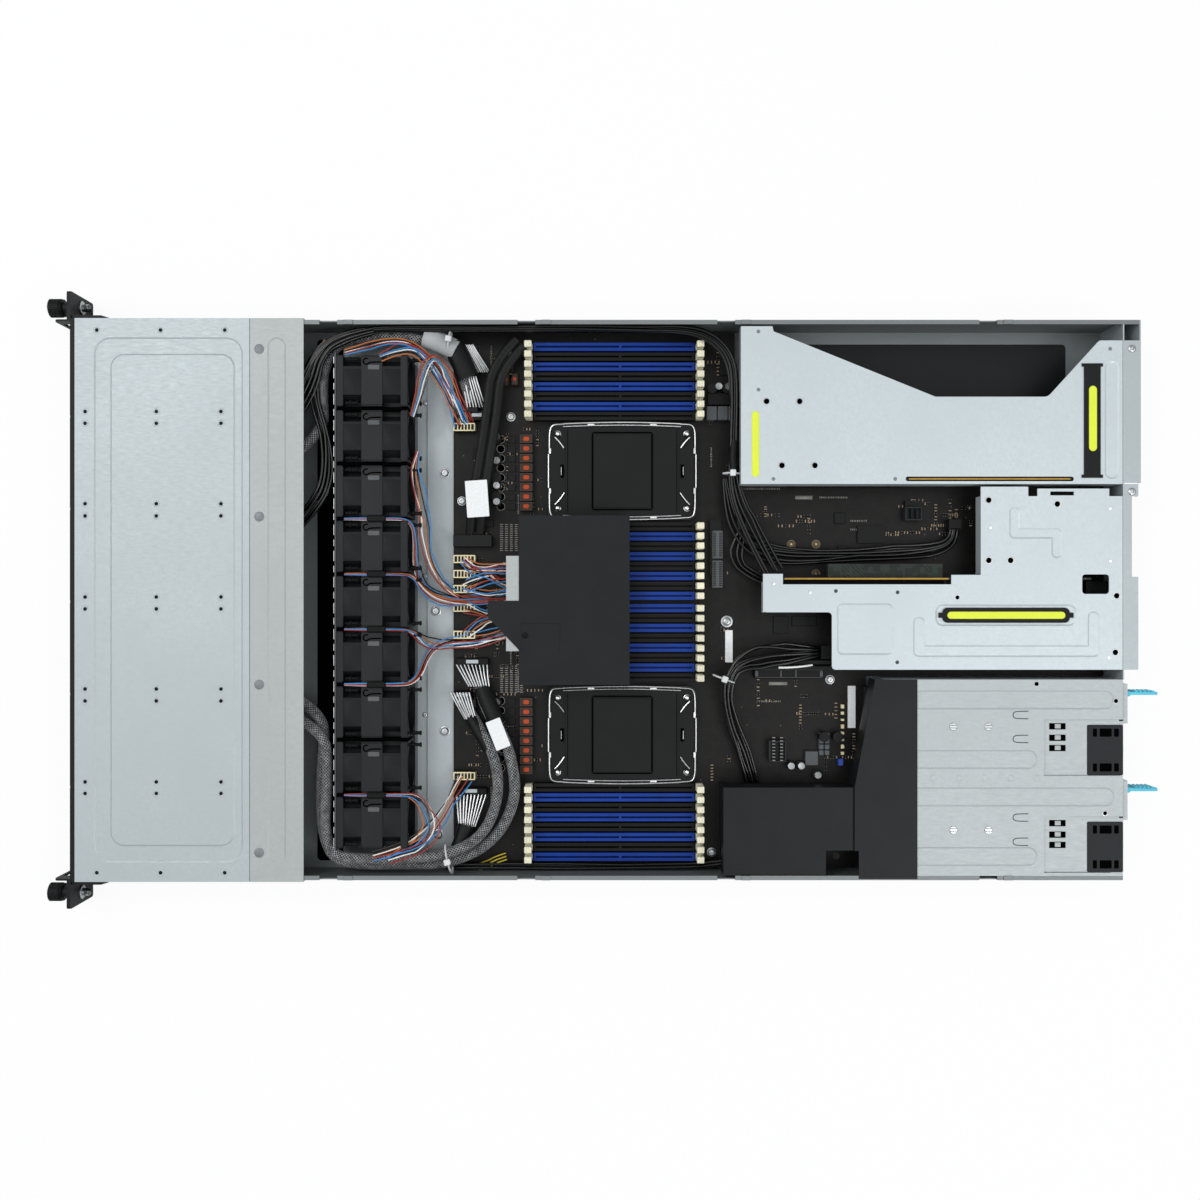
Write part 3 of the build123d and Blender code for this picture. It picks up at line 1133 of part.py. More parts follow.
def riser_two_board():
    """Riser two's card, with a card socket on each side."""
    y = RISER_TWO_BOARD_Y
    x0, x1 = RISER_TWO_X + 15.8, RISER_END_X - 24
    body_x = RISER_END_X - RISER_TWO_BODY_LENGTH
    card = riser_board(x0, x1, y, SLOT_TWO_X, x0, RISER_END_X - RISER_TWO_HEAD_LENGTH - 24)
    half = RISER_BOARD_THICKNESS / 2
    upper = block(body_x - 2, body_x + 88, y + half, y + half + RISER_SLOT_HEIGHT, 29.5, 37)
    upper -= block(body_x, body_x + 86, y + half + 4, y + half + 12, 32.3, 34.2)
    lower = block(body_x + 90, body_x + 180, y - half - RISER_SLOT_HEIGHT, y - half, 27, 34.5)
    lower -= block(body_x + 92, body_x + 178, y - half - 12, y - half - 4, 29.8, 31.7)
    return [card, upper, lower]


def riser_two_strap():
    """Pull handle lying in the pressed pocket of riser two's cage."""
    x1 = RISER_END_X - HANDLE_END - HANDLE_TAB
    x0 = x1 - HANDLE_LENGTH + 2 * HANDLE_TAB
    z0, z1 = LID_UNDER - PRESS_DEPTH, LID_UNDER + STRAP_THICKNESS
    half = HANDLE_WIDTH / 2
    strap = Pos(0, 0, z0) * extrude(rounded(x0, x1, HANDLE_Y - half, HANDLE_Y + half, 4), z1 - z0)
    return [strap + block(x0 - HANDLE_TAB, x1 + HANDLE_TAB, HANDLE_Y - half / 3, HANDLE_Y + half / 3, z0, z1)]


def rack_ear(side):
    """Rack ear: the screw plate, a leg along the chassis and a pull handle; +1 is the +Y side."""
    z0, z1 = EAR_MARGIN_Z, CHASSIS_HEIGHT - EAR_MARGIN_Z

    def across(y0, y1):
        return sorted((side * y0, side * y1))

    low, high = across(EAR_IN_Y, EAR_OUT_Y)
    ear = block(EAR_X, FRAME_X, low, high, z0, z1)
    outer_edges = ear.edges().filter_by(Axis.X).group_by(Axis.Y)[-1 if side > 0 else 0]
    ear = fillet(outer_edges, EAR_CORNER_RADIUS)
    leg_end = FRAME_X + EAR_LEG_LENGTH
    leg = [
        (FRAME_X, side * COVER_OUT),
        (FRAME_X, side * (COVER_OUT + EAR_LEG_SHEET)),
        (leg_end - EAR_LEG_TAPER, side * (COVER_OUT + EAR_LEG_SHEET)),
        (leg_end, side * (COVER_OUT + EAR_LEG_SHEET / 3)),
        (leg_end, side * COVER_OUT),
    ]
    ear += slab(leg, z0 + 2, z1 - 2)
    low, high = across(EAR_IN_Y, EAR_IN_Y + EAR_HANDLE_SHEET)
    handle_x = EAR_X - EAR_HANDLE_REACH
    handle = block(handle_x, EAR_X, low, high, z0 + 1, z1 - 1)
    handle = fillet(handle.edges().filter_by(Axis.Y).group_by(Axis.X)[0], EAR_HANDLE_RADIUS)
    slot_z = (z0 + z1) / 2
    ear += handle - block(handle_x + 2.5, EAR_X - 1.5, low - 1, high + 1, slot_z - 9, slot_z + 9)
    ear -= rod_x(EAR_X - 1, FRAME_X + 1, side * SCREW_Y, SCREW_Z, SCREW_NECK_RADIUS + RUNNING_GAP)
    if side * BUTTON_Y > 0:
        pod = block(EAR_X - 3, EAR_X, BUTTON_Y - 3.4, BUTTON_Y + 3.4, BUTTON_Z - 4, BUTTON_Z + 4)
        ear = ear + pod - rod_x(EAR_X - 4, EAR_X + 1, BUTTON_Y, BUTTON_Z, BUTTON_RADIUS + RUNNING_GAP / 2)
    return [ear]


def thumbscrew(side):
    """Captive rack screw, turned: domed knob with a groove, collar, neck through the ear, thread and tip."""
    knob_end = KNOB_FRONT_X + KNOB_LENGTH
    thread_end = SCREW_TIP_X - SCREW_LEAD_IN
    thread_start = thread_end - THREAD_LENGTH
    plate_x = EAR_X - RUNNING_GAP
    rim = KNOB_FRONT_X + KNOB_DOME
    groove_r = KNOB_RADIUS - KNOB_GROOVE
    dome = ThreePointArc(
        (KNOB_FRONT_X, 0), (KNOB_FRONT_X + KNOB_DOME * 0.2, KNOB_RADIUS * 0.5), (rim, KNOB_RADIUS)
    )
    side_line = Polyline(
        (rim, KNOB_RADIUS),
        (knob_end - 3 * KNOB_DOME / 2, KNOB_RADIUS),
        (knob_end - KNOB_DOME, groove_r),
        (knob_end - KNOB_DOME / 2, groove_r),
        (knob_end, KNOB_RADIUS),
        (knob_end, COLLAR_RADIUS),
        (plate_x, COLLAR_RADIUS),
        (plate_x, SCREW_NECK_RADIUS),
        (thread_start, SCREW_NECK_RADIUS),
        (thread_start, SCREW_RADIUS),
        (thread_end, SCREW_RADIUS),
        (SCREW_TIP_X, SCREW_TIP_RADIUS),
        (SCREW_TIP_X, 0),
        (KNOB_FRONT_X, 0),
    )
    profile = make_face([dome, side_line])
    return [Pos(0, side * SCREW_Y, SCREW_Z) * revolve(profile, Axis.X)]


def power_button():
    """Round push button in the pod of the -Y ear."""
    return [rod_x(EAR_X - 3 - 1.6, EAR_X - 0.2, BUTTON_Y, BUTTON_Z, BUTTON_RADIUS)]


def standoff_places():
    """Where the board is screwed to the floor."""
    full_x = BOARD_X + BOARD_FULL_LENGTH
    side = BOARD_SIDE_Y - 6
    places = [(BOARD_X + 6, y) for y in (side, 80, -80, -side)]
    places += [(MEMORY_X + MEMORY_SOCKET_LENGTH + 14, y) for y in (side, -side, 0.0)]
    places += [(full_x + 40, BOARD_NECK_TOP_Y - 40), (full_x + 40, BOARD_NECK_LOW_Y + 9), (SOCKET_X - 4, 0.0)]
    places += [(BOARD_REAR_X - 45, BOARD_NECK_TOP_Y - 9), (BOARD_REAR_X - 45, BOARD_NECK_LOW_Y + 7)]
    return places


def fasteners():
    """Standoffs under the board, and the screws through the floor bracket."""
    pieces = []
    for x, y in standoff_places():
        pieces.append(rod_z(x, y, SHEET, SHEET + STANDOFF_HEIGHT, STANDOFF_RADIUS))
    x = BOARD_X - BRACKET_GAP / 2 - BRACKET_STEP_WIDTH / 2
    top = SHEET + BRACKET_HEIGHT
    for y in (120, 90, -10, -106, -190):
        pieces.append(rod_z(x, y, top, top + 1.6, 3.2))
    return pieces


def tube(points, radius):
    """A round cable whose straight runs are joined by arcs as large as the runs allow."""
    runs = [Vector(*b) - Vector(*a) for a, b in zip(points, points[1:])]
    radii = []
    for before, after in zip(runs, runs[1:]):
        turn = math.radians(before.get_angle(after))
        radii.append(0.45 * min(before.length, after.length) / math.tan(turn / 2))
    print("arc radii", [round(r, 1) for r in radii])
    path = FilletPolyline(*points, radius=radii)
    start = Plane(origin=path @ 0, z_dir=path % 0)
    return sweep(start * Circle(radius), path=path)


def cable_looms():
    """The looms from the drive bay round both ends of the fan row, and the leads along the walls."""
    loom_x = FAN_FRONT_X - SHEET - 7 - LOOM_RADIUS
    wall = WALL_IN - LIP
    fans_top = fan_y(0) + FAN_SIZE / 2
    turn_x = MEMORY_X - LATCH_LENGTH - 7
    z = LOOM_Z
    outer_y = -wall + LOOM_RADIUS + 0.6
    outer = [
        (STRIP_END_X - 10, -78, z),
        (loom_x, -92, z),
        (loom_x - 1, -120, z),
        (loom_x - 3, -150, z),
        (loom_x - 2, -182, z),
        (loom_x + 6, -206, z),
        (loom_x + 30, outer_y, z),
        (loom_x + 62, outer_y + 0.6, z),
        (loom_x + 98, outer_y, z - 1),
        (turn_x - 18, -193, z),
        (turn_x, -160, z),
        (turn_x - 3, -128, z),
        (turn_x - 12, -104, z),
        (turn_x - 26, -86, z - 3),
        (turn_x - 31, LOOM_PLUG_Y - 2.4, BOARD_TOP + 6.5),
    ]
    upper = [
        (STRIP_END_X - 10, 118, z),
        (loom_x, 134, z),
        (loom_x - 2, 160, z),
        (loom_x - 1, 184, z),
        (loom_x + 10, 205, z),
        (loom_x + 36, 209.6, z),
        (loom_x + 66, 209.2, z),
        (loom_x + 92, 203, z),
        (BOARD_X + 10, 181, z - 1),
        (BOARD_X + 14, UPPER_PLUG_Y + 1.6, BOARD_TOP + 10),
    ]
    inner = [
        (STRIP_END_X - 10, -92, z + 8),
        (loom_x + 2, -104, z + 9),
        (loom_x + 4.5, -130, z + 9),
        (loom_x + 3, -160, z + 9),
        (loom_x + 2.5, -184, z + 9),
        (loom_x + 9, -201.5, z + 9),
        (loom_x + 30, -204, z + 9),
        (loom_x + 62, -203.4, z + 9),
        (loom_x + 98, -201.5, z + 8),
        (turn_x - 26, -187, z + 7),
        (turn_x - 13.5, -158, z + 6),
        (turn_x - 15, -130, z + 5),
        (turn_x - 26, -106, z),
        (turn_x - 38.5, INNER_PLUG_Y - 3.3, BOARD_TOP + 6),
    ]
    lead_y = WALL_IN - LEAD_RADIUS - 0.25
    top_lead = [
        (STRIP_END_X - 6, 165, z + 9),
        (STRIP_END_X + 2, 190, z + 9),
        (FAN_FRONT_X + 4, lead_y - 3, z + 9),
        (FAN_FRONT_X + 45, lead_y, z + 9),
        (FAN_REAR_X + 60, lead_y - 0.6, z + 9),
        (MEMORY_X + 30, lead_y, z + 9),
        (MEMORY_X + 80, lead_y - 0.5, z + 9),
        (MEMORY_X + 132, lead_y - 1.5, z + 10),
        (RISER_ONE_X - 7, 194, z + 9),
        (RISER_ONE_X - 6, 160, z + 5),
        (RISER_ONE_X - 9, 120, z + 5),
        (RISER_ONE_X - 4, 84, z + 5),
        (RISER_ONE_X + 10, 54, z + 5),
        (RISER_TWO_X + 8, RISER_TWO_STEP_Y + 9.0, z + 5),
    ]
    low_lead = [
        (BOARD_X - 6, -wall + LEAD_RADIUS - 1.4, 14),
        (BOARD_X + 34, -wall + LEAD_RADIUS - 1.2, 14),
        (MEMORY_X + 30, -wall + LEAD_RADIUS - 1.6, 14),
        (MEMORY_X + 90, -wall + LEAD_RADIUS - 1.2, 14),
        (MEMORY_X + 142, -wall + LEAD_RADIUS - 0.6, 15),
        (MEMORY_X + 165, -wall + LEAD_RADIUS + 5, 16),
    ]
    bundle = [
        (RISER_ONE_X - 9, 97, BOARD_TOP + 12),
        (RISER_ONE_X - 6, 72, BOARD_TOP + 12),
        (RISER_ONE_X + 6, 49, BOARD_TOP + 10),
        (RISER_TWO_X + 11, 36, BOARD_TOP + 8),
        (RISER_TWO_X + 55, 35.5, BOARD_TOP + 8),
        (RISER_TWO_X + 105, 37.5, BOARD_TOP + 8),
        (RISER_TWO_X + 140, 40.5, BOARD_TOP + 7),
        (RISER_TWO_X + 156.5, 47, BOARD_TOP + 6),
        (RISER_TWO_X + 157, BUNDLE_PLUG_Y - 0.5, BOARD_TOP + 6),
    ]
    plug_x = RISER_TWO_X - 4.5
    drop = [
        (SLOT_TWO_X + 25.9, -41.5, BOARD_TOP + 11),
        (SLOT_TWO_X + 6, -42.5, BOARD_TOP + 16),
        (RISER_TWO_X - 1, -43.5, BOARD_TOP + 17),
        (RISER_TWO_X - 21, -52, BOARD_TOP + 17),
        (RISER_TWO_X - 27, -72, BOARD_TOP + 16),
        (RISER_TWO_X - 22, -98, BOARD_TOP + 13),
        (RISER_TWO_X - 11, -124, BOARD_TOP + 9),
        (plug_x, DROP_PLUG_Y + 1.5, BOARD_TOP + 6),
    ]
    looms = [
        tube(outer, LOOM_RADIUS),
        tube(inner, LOOM_RADIUS),
        tube(upper, LOOM_RADIUS),
        tube(top_lead, LEAD_RADIUS),
        tube(low_lead, LEAD_RADIUS),
        tube(bundle, BUNDLE_RADIUS),
        tube(drop, BUNDLE_RADIUS),
    ]
    for side in (-1, 1):
        x = turn_x + side * FLAT_SPREAD
        flat = [
            (x + 3, 205, z - 1),
            (x - 16, 186, z - 1),
            (x - 19, 152, z - 1),
            (x - 25, 112, z - 2),
            (x - 31, 78, z - 5),
            (x - 34, FLAT_PLUG_Y + 0.9, BOARD_TOP + 5),
        ]
        looms.append(tube(flat, FLAT_RADIUS))
    return looms


def all_nodes():
    """Every sub-part's name with its solids."""
    nodes = {
        "chassis_pan": chassis_pan(),
        "rear_panel": rear_panel(),
        "front_cover": front_cover(),
        "cover_strip": cover_strip(),
        "drive_cage": drive_cage(),
        "backplane": backplane(),
        "fan_wall": fan_wall(),
        "fan_housings": fan_housings(),
        "floor_bracket": floor_bracket(),
        "motherboard": motherboard(),
        "memory_sockets_blue": memory_sockets(True),
        "memory_sockets_black": memory_sockets(False),
        "memory_latches": memory_latches(),
        "socket_frames": socket_frames(),
        "socket_caps": socket_caps(),
        "board_parts": board_parts(),
        "air_baffle": air_baffle(),
        "baffle_bracket": baffle_bracket(),
        "power_baffle": power_baffle(),
        "psu_cage": psu_cage(),
        "cable_looms": cable_looms(),
        "fasteners": fasteners(),
        "rack_ear_left": rack_ear(1),
        "rack_ear_right": rack_ear(-1),
        "thumbscrew_left": thumbscrew(1),
        "thumbscrew_right": thumbscrew(-1),
        "power_button": power_button(),
        "riser_one_cage": riser_one_cage(),
        "riser_one_board": riser_one_board(),
        "riser_one_strap": riser_one_strap(),
        "riser_two_cage": riser_two_cage(),
        "riser_two_board": riser_two_board(),
        "riser_two_strap": riser_two_strap(),
    }
    for number, y in ((1, PSU_ONE_Y), (2, PSU_TWO_Y)):
        nodes[f"psu_{number}"] = psu(y)
        nodes[f"psu_{number}_rotor"] = psu_rotor(y)
        nodes[f"psu_{number}_latch"] = psu_latch(y)
    for fan in range(FAN_COUNT):
        nodes[f"fan_rotor_{fan + 1}"] = fan_rotor(fan)
    for column in range(DRIVE_COLUMNS):
        for row in range(DRIVE_ROWS):
            nodes[f"drive_tray_{column * DRIVE_ROWS + row + 1:02d}"] = drive_tray(column, row)
    return nodes


def main():
    """Writes one file for each sub-part."""
    os.makedirs("parts", exist_ok=True)
    for name, pieces in all_nodes().items():
        solids = [solid for piece in pieces for solid in piece.solids()]
        shape = solids[0] if len(solids) == 1 else Compound(solids)
        export_step(shape, f"parts/{name}.step")


main()
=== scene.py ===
import math

import bpy
import numpy as np
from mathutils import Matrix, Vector


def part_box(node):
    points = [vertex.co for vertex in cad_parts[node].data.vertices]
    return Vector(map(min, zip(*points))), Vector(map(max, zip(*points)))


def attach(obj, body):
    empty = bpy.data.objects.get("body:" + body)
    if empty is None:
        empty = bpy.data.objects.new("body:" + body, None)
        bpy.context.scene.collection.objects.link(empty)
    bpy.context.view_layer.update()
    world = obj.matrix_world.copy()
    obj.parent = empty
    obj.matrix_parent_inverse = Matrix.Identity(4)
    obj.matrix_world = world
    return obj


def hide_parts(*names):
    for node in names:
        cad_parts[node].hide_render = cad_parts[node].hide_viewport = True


bl_info = {
    "name": "Open One-Unit Server",
    "version": (1, 0, 0),
    "blender": (4, 5, 0),
    "location": "3D View > Sidebar > Server",
    "description": "Dresses the packed frame of a one-unit rack server whose rear cover is off",
    "category": "Add Mesh",
}

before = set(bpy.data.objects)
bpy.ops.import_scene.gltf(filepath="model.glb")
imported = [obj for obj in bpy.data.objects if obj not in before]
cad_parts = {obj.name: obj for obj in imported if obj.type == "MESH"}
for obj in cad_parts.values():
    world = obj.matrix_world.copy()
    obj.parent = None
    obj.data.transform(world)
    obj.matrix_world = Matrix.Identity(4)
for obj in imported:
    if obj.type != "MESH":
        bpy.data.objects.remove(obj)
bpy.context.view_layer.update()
MM = 0.001

# Places that the pieces share, in millimetres in the frame's own axes.
FAN_COUNT = 9
FAN_PITCH = 43.2
FAN_SHIFT = -1.25
FAN_FRONT_X = -206.4
FAN_MIDDLE_X = -178.4
FAN_REAR_X = -150.4
FAN_TOP_Z = 41.0
COVER_Z = 44.0
SHEET_TOP_Z = 43.0
BRACKET_Z = 4.4
BOARD_Z = 8.0
MEMORY_X = (-53.2, 75.8)
MEMORY_TOP_Z = 17.0
LATCH_TOP_Z = 30.0
SOCKET_X = (-41.8, 77.5)
SOCKET_Y = (103.4, -108.2)
PSU_Y = (-100.45, -176.15)
PSU_TOP_Z = 41.3
EAR_SCREW_Y = 232.55


def linear(code):
    """An sRGB hex colour as linear red, green, blue and alpha."""
    channels = np.array([int(code[place:place + 2], 16) for place in (0, 2, 4)]) / 255
    return (*np.where(channels <= 0.04045, channels / 12.92, ((channels + 0.055) / 1.055) ** 2.4), 1.0)


class ServerSizes(bpy.types.PropertyGroup):
    """Sizes of the pieces that are made here."""

    sleeve_radius: bpy.props.FloatProperty(
        name="Sleeve radius", description="Half the thickness of a braided sleeve", default=4.4 * MM, unit="LENGTH"
    )
    lead_radius: bpy.props.FloatProperty(
        name="Lead radius", description="Half the thickness of a power lead", default=1.3 * MM, unit="LENGTH"
    )
    wire_radius: bpy.props.FloatProperty(
        name="Wire radius", description="Half the thickness of a fan wire", default=0.56 * MM, unit="LENGTH"
    )
    braid_pitch: bpy.props.FloatProperty(
        name="Braid pitch", description="Distance between the crossings of a sleeve's braid", default=2.5 * MM,
        unit="LENGTH",
    )
    spangle: bpy.props.FloatProperty(
        name="Spangle", description="Size of the zinc's crystals on galvanised sheet", default=1.7 * MM, unit="LENGTH"
    )


class ServerColours(bpy.types.PropertyGroup):
    """Colours of the main finishes."""

    sheet: bpy.props.FloatVectorProperty(
        name="Sheet", description="Galvanised covers and pan", default=linear("b1babd"), size=4, subtype="COLOR"
    )
    bright_sheet: bpy.props.FloatVectorProperty(
        name="Bright sheet", description="Riser and supply plates", default=linear("c6d0d4"), size=4, subtype="COLOR"
    )
    mask: bpy.props.FloatVectorProperty(
        name="Solder mask", description="Main board", default=linear("0a0807"), size=4, subtype="COLOR"
    )
    memory_blue: bpy.props.FloatVectorProperty(
        name="Memory blue", description="Blue memory sockets", default=linear("08358c"), size=4, subtype="COLOR"
    )
    mark: bpy.props.FloatVectorProperty(
        name="Lift mark", description="Marks where the risers are lifted", default=linear("e4f23a"), size=4,
        subtype="COLOR",
    )
    latch: bpy.props.FloatVectorProperty(
        name="Release latch", description="Levers of the supplies", default=linear("5cc4dd"), size=4, subtype="COLOR"
    )


def sizes():
    """The sizes that the scene holds."""
    return bpy.context.scene.server_sizes


def colours():
    """The colours that the scene holds."""
    return bpy.context.scene.server_colours


# Materials


def add(tree, kind, settings=()):
    """Adds a node. A capitalised or numbered setting is an input, linked or set, and any other a property."""
    node = tree.nodes.new(kind)
    for key, value in dict(settings).items():
        if isinstance(key, str) and not key[0].isupper():
            setattr(node, key, value)
        elif isinstance(value, bpy.types.NodeSocket):
            tree.links.new(value, node.inputs[key])
        else:
            node.inputs[key].default_value = value
    return node


def new_finish(name, metallic=0.0, roughness=0.5, settings=()):
    """An empty material with its surface shader; gives the material, its tree and the shader."""
    material = bpy.data.materials.new(name)
    material.use_nodes = True
    tree = material.node_tree
    tree.nodes.clear()
    shader = add(tree, "ShaderNodeBsdfPrincipled", {"Metallic": metallic, "Roughness": roughness, **dict(settings)})
    add(tree, "ShaderNodeOutputMaterial", {"Surface": shader.outputs[0]})
    return material, tree, shader


def grain(tree, size_mm, detail=3.0, stretch=(1.0, 1.0, 1.0), source="Object"):
    """A noise whose patches are about size_mm across, stretched along the axes by the given factors."""
    place = add(tree, "ShaderNodeTexCoord")
    scale = tuple(1.0 / value for value in stretch)
    mapped = add(tree, "ShaderNodeMapping", {"Vector": place.outputs[source], "Scale": scale})
    settings = {"Vector": mapped.outputs[0], "Scale": 1.0 / (size_mm * MM), "Detail": detail}
    return add(tree, "ShaderNodeTexNoise", settings).outputs["Fac"]


def between(tree, factor, first, second):
    """Mixes two colours, or two links, by a factor."""
    settings = {"data_type": "RGBA", 0: factor, 6: first, 7: second}
    return add(tree, "ShaderNodeMix", settings).outputs[2]


def spread(tree, value, low, high, from_low=0.3, from_high=0.7):
    """Maps a value between two limits onto another range."""
    settings = {0: value, 1: from_low, 2: from_high, 3: low, 4: high}
    return add(tree, "ShaderNodeMapRange", settings).outputs[0]


def raised(tree, shader, height, depth_mm, strength=0.4):
    """Gives the shader a bump of the stated depth."""
    settings = {"Height": height, "Distance": depth_mm * MM, "Strength": strength}
    tree.links.new(add(tree, "ShaderNodeBump", settings).outputs[0], shader.inputs["Normal"])


def shade(colour, factor):
    """A colour made darker or lighter."""
    return (*(min(1.0, channel * factor) for channel in colour[:3]), 1.0)


def galvanised_sheet(name, colour, metallic=0.35, roughness=0.5):
    """Zinc-coated steel sheet: a soft grey sheen with faint crystals and rolling grain."""
    material, tree, shader = new_finish(name, metallic, roughness)
    place = add(tree, "ShaderNodeTexCoord")
    settings = {"Vector": place.outputs["Object"], "Scale": 1.0 / sizes().spangle}
    crystals = add(tree, "ShaderNodeTexVoronoi", settings).outputs["Color"]
    grey = add(tree, "ShaderNodeRGBToBW", {0: crystals}).outputs[0]
    rolled = grain(tree, 1.1, 4.0, (6.0, 1.0, 1.0))
    tone = between(tree, spread(tree, grey, 0.0, 1.0, 0.1, 0.9), shade(colour, 0.965), shade(colour, 1.035))
    dirt = spread(tree, grain(tree, 70.0, 2.0), 0.0, 1.0)
    tone = between(tree, dirt, tone, shade(colour, 0.955))
    tree.links.new(tone, shader.inputs["Base Color"])
    tree.links.new(spread(tree, rolled, roughness - 0.07, roughness + 0.08), shader.inputs["Roughness"])
    raised(tree, shader, rolled, 0.02, 0.25)
    return material


def moulded(name, colour, roughness=0.5, texture_mm=0.9, depth_mm=0.03, gloss=0.2):
    """Injection-moulded plastic: an even colour with a fine spark-eroded grain and little gloss."""
    material, tree, shader = new_finish(name, 0.0, roughness, {"Specular IOR Level": gloss})
    fine = grain(tree, texture_mm, 3.0)
    broad = grain(tree, 24.0, 2.0)
    tone = between(tree, spread(tree, broad, 0.0, 1.0), shade(colour, 0.88), shade(colour, 1.14))
    tree.links.new(tone, shader.inputs["Base Color"])
    tree.links.new(spread(tree, fine, roughness - 0.06, roughness + 0.07), shader.inputs["Roughness"])
    raised(tree, shader, fine, depth_mm, 0.5)
    return material


def bare_metal(name, colour, roughness=0.3):
    """Plated or turned metal: bright, with fine lines and a little tarnish."""
    material, tree, shader = new_finish(name, 1.0, roughness)
    fine = grain(tree, 0.8, 3.0)
    tone = between(tree, spread(tree, grain(tree, 5.0), 0.0, 1.0), colour, shade(colour, 0.8))
    tree.links.new(tone, shader.inputs["Base Color"])
    tree.links.new(spread(tree, fine, roughness - 0.08, roughness + 0.1), shader.inputs["Roughness"])
    return material


def solder_mask(name, colour, pads=True):
    """Glass-fibre laminate under a dark mask: copper shows through as lighter paths, with tinned pads."""
    material, tree, shader = new_finish(name, 0.0, 0.45, {"Specular IOR Level": 0.22})
    place = add(tree, "ShaderNodeTexCoord").outputs["Object"]
    settings = {"Vector": place, "Scale": 140.0, "distance": "CHEBYCHEV"}
    pour = add(tree, "ShaderNodeTexVoronoi", settings)
    copper = add(tree, "ShaderNodeMath", {"operation": "GREATER_THAN", 0: pour.outputs["Distance"], 1: 0.42})
    tone = between(tree, copper.outputs[0], colour, shade(colour, 1.7))
    wave_settings = {"Vector": place, "Scale": 190.0, "Distortion": 1.4, "Detail": 1.0, "bands_direction": "DIAGONAL"}
    tracks = add(tree, "ShaderNodeTexWave", wave_settings).outputs["Fac"]
    zone = spread(tree, grain(tree, 26.0, 1.0), 0.0, 1.0, 0.5, 0.56)
    drawn = add(tree, "ShaderNodeMath", {"operation": "MULTIPLY", 0: spread(tree, tracks, 0, 1, 0.7, 0.9), 1: zone})
    tone = between(tree, drawn.outputs[0], tone, shade(colour, 2.1))
    if pads:
        dots = {"Vector": place, "Scale": 480.0, "distance": "CHEBYCHEV", "Randomness": 0.55}
        pad = add(tree, "ShaderNodeTexVoronoi", dots)
        near = add(tree, "ShaderNodeMath", {"operation": "LESS_THAN", 0: pad.outputs["Distance"], 1: 0.17})
        chance = add(tree, "ShaderNodeSeparateColor", {0: pad.outputs["Color"]}).outputs[0]
        busy = spread(tree, grain(tree, 12.0, 1.0), 0.0, 0.45, 0.42, 0.62)
        some = add(tree, "ShaderNodeMath", {"operation": "LESS_THAN", 0: chance, 1: busy})
        shown = add(tree, "ShaderNodeMath", {"operation": "MULTIPLY", 0: near.outputs[0], 1: some.outputs[0]})
        tone = between(tree, shown.outputs[0], tone, linear("6d6961"))
    tree.links.new(tone, shader.inputs["Base Color"])
    return material


def braided_sleeve(name):
    """Braided polyester sleeve: dark strands on both slants, with painted highlights in lighter grey along the raised
    crossings of the weave.
    """
    material, tree, shader = new_finish(name, 0.0, 0.55, {"Sheen Weight": 0.15})
    place = add(tree, "ShaderNodeTexCoord").outputs["UV"]
    split = add(tree, "ShaderNodeSeparateXYZ", {0: place})
    turns = 2 * math.pi / (sizes().braid_pitch / MM)
    waves = []
    for sign in (1.0, -1.0):
        slant = add(tree, "ShaderNodeMath", {"operation": "MULTIPLY_ADD", 0: split.outputs[1], 1: sign,
                                             2: split.outputs[0]})
        angle = add(tree, "ShaderNodeMath", {"operation": "MULTIPLY", 0: slant.outputs[0], 1: turns})
        waves.append(add(tree, "ShaderNodeMath", {"operation": "SINE", 0: angle.outputs[0]}).outputs[0])
    crossing = add(tree, "ShaderNodeMath", {"operation": "MAXIMUM", 0: waves[0], 1: waves[1]}).outputs[0]
    # Painted highlight: the raised crossings of the weave, where the bump is highest, are lighter grey.
    light = spread(tree, crossing, 0.0, 1.0, 0.45, 0.95)
    crest_highlight = between(tree, spread(tree, grain(tree, 3.5), 0.0, 1.0), linear("5c5e60"), linear("b4b7b9"))
    tone = between(tree, light, linear("0d0e0f"), crest_highlight)
    tree.links.new(tone, shader.inputs["Base Color"])
    raised(tree, shader, crossing, 0.4, 0.8)
    return material


def insulated(name, code, roughness=0.38):
    """Extruded wire insulation: smooth and glossy, a little darker in broad patches."""
    material, tree, shader = new_finish(name, 0.0, roughness)
    colour = linear(code)
    tone = between(tree, spread(tree, grain(tree, 24.0, 2.0), 0.0, 1.0), shade(colour, 0.85), shade(colour, 1.12))
    tree.links.new(tone, shader.inputs["Base Color"])
    return material


def printed_ink(name, colour):
    """Screen-printed or moulded bright mark: flat colour under a slight sheen."""
    material, tree, shader = new_finish(name, 0.0, 0.5)
    tone = between(tree, spread(tree, grain(tree, 8.0), 0.0, 1.0), shade(colour, 0.96), colour)
    tree.links.new(tone, shader.inputs["Base Color"])
    return material


def label_stock(name):
    """Matt paper label with faint fibres and nothing printed on it."""
    material, tree, shader = new_finish(name, 0.0, 0.7)
    tone = between(tree, spread(tree, grain(tree, 1.4), 0.0, 1.0), linear("e3e6e8"), linear("f2f4f5"))
    tree.links.new(tone, shader.inputs["Base Color"])
    return material


def ferrite(name):
    """Moulded choke core in an even rust colour."""
    return moulded(name, linear("b2451f"), 0.5, 1.0, 0.05)


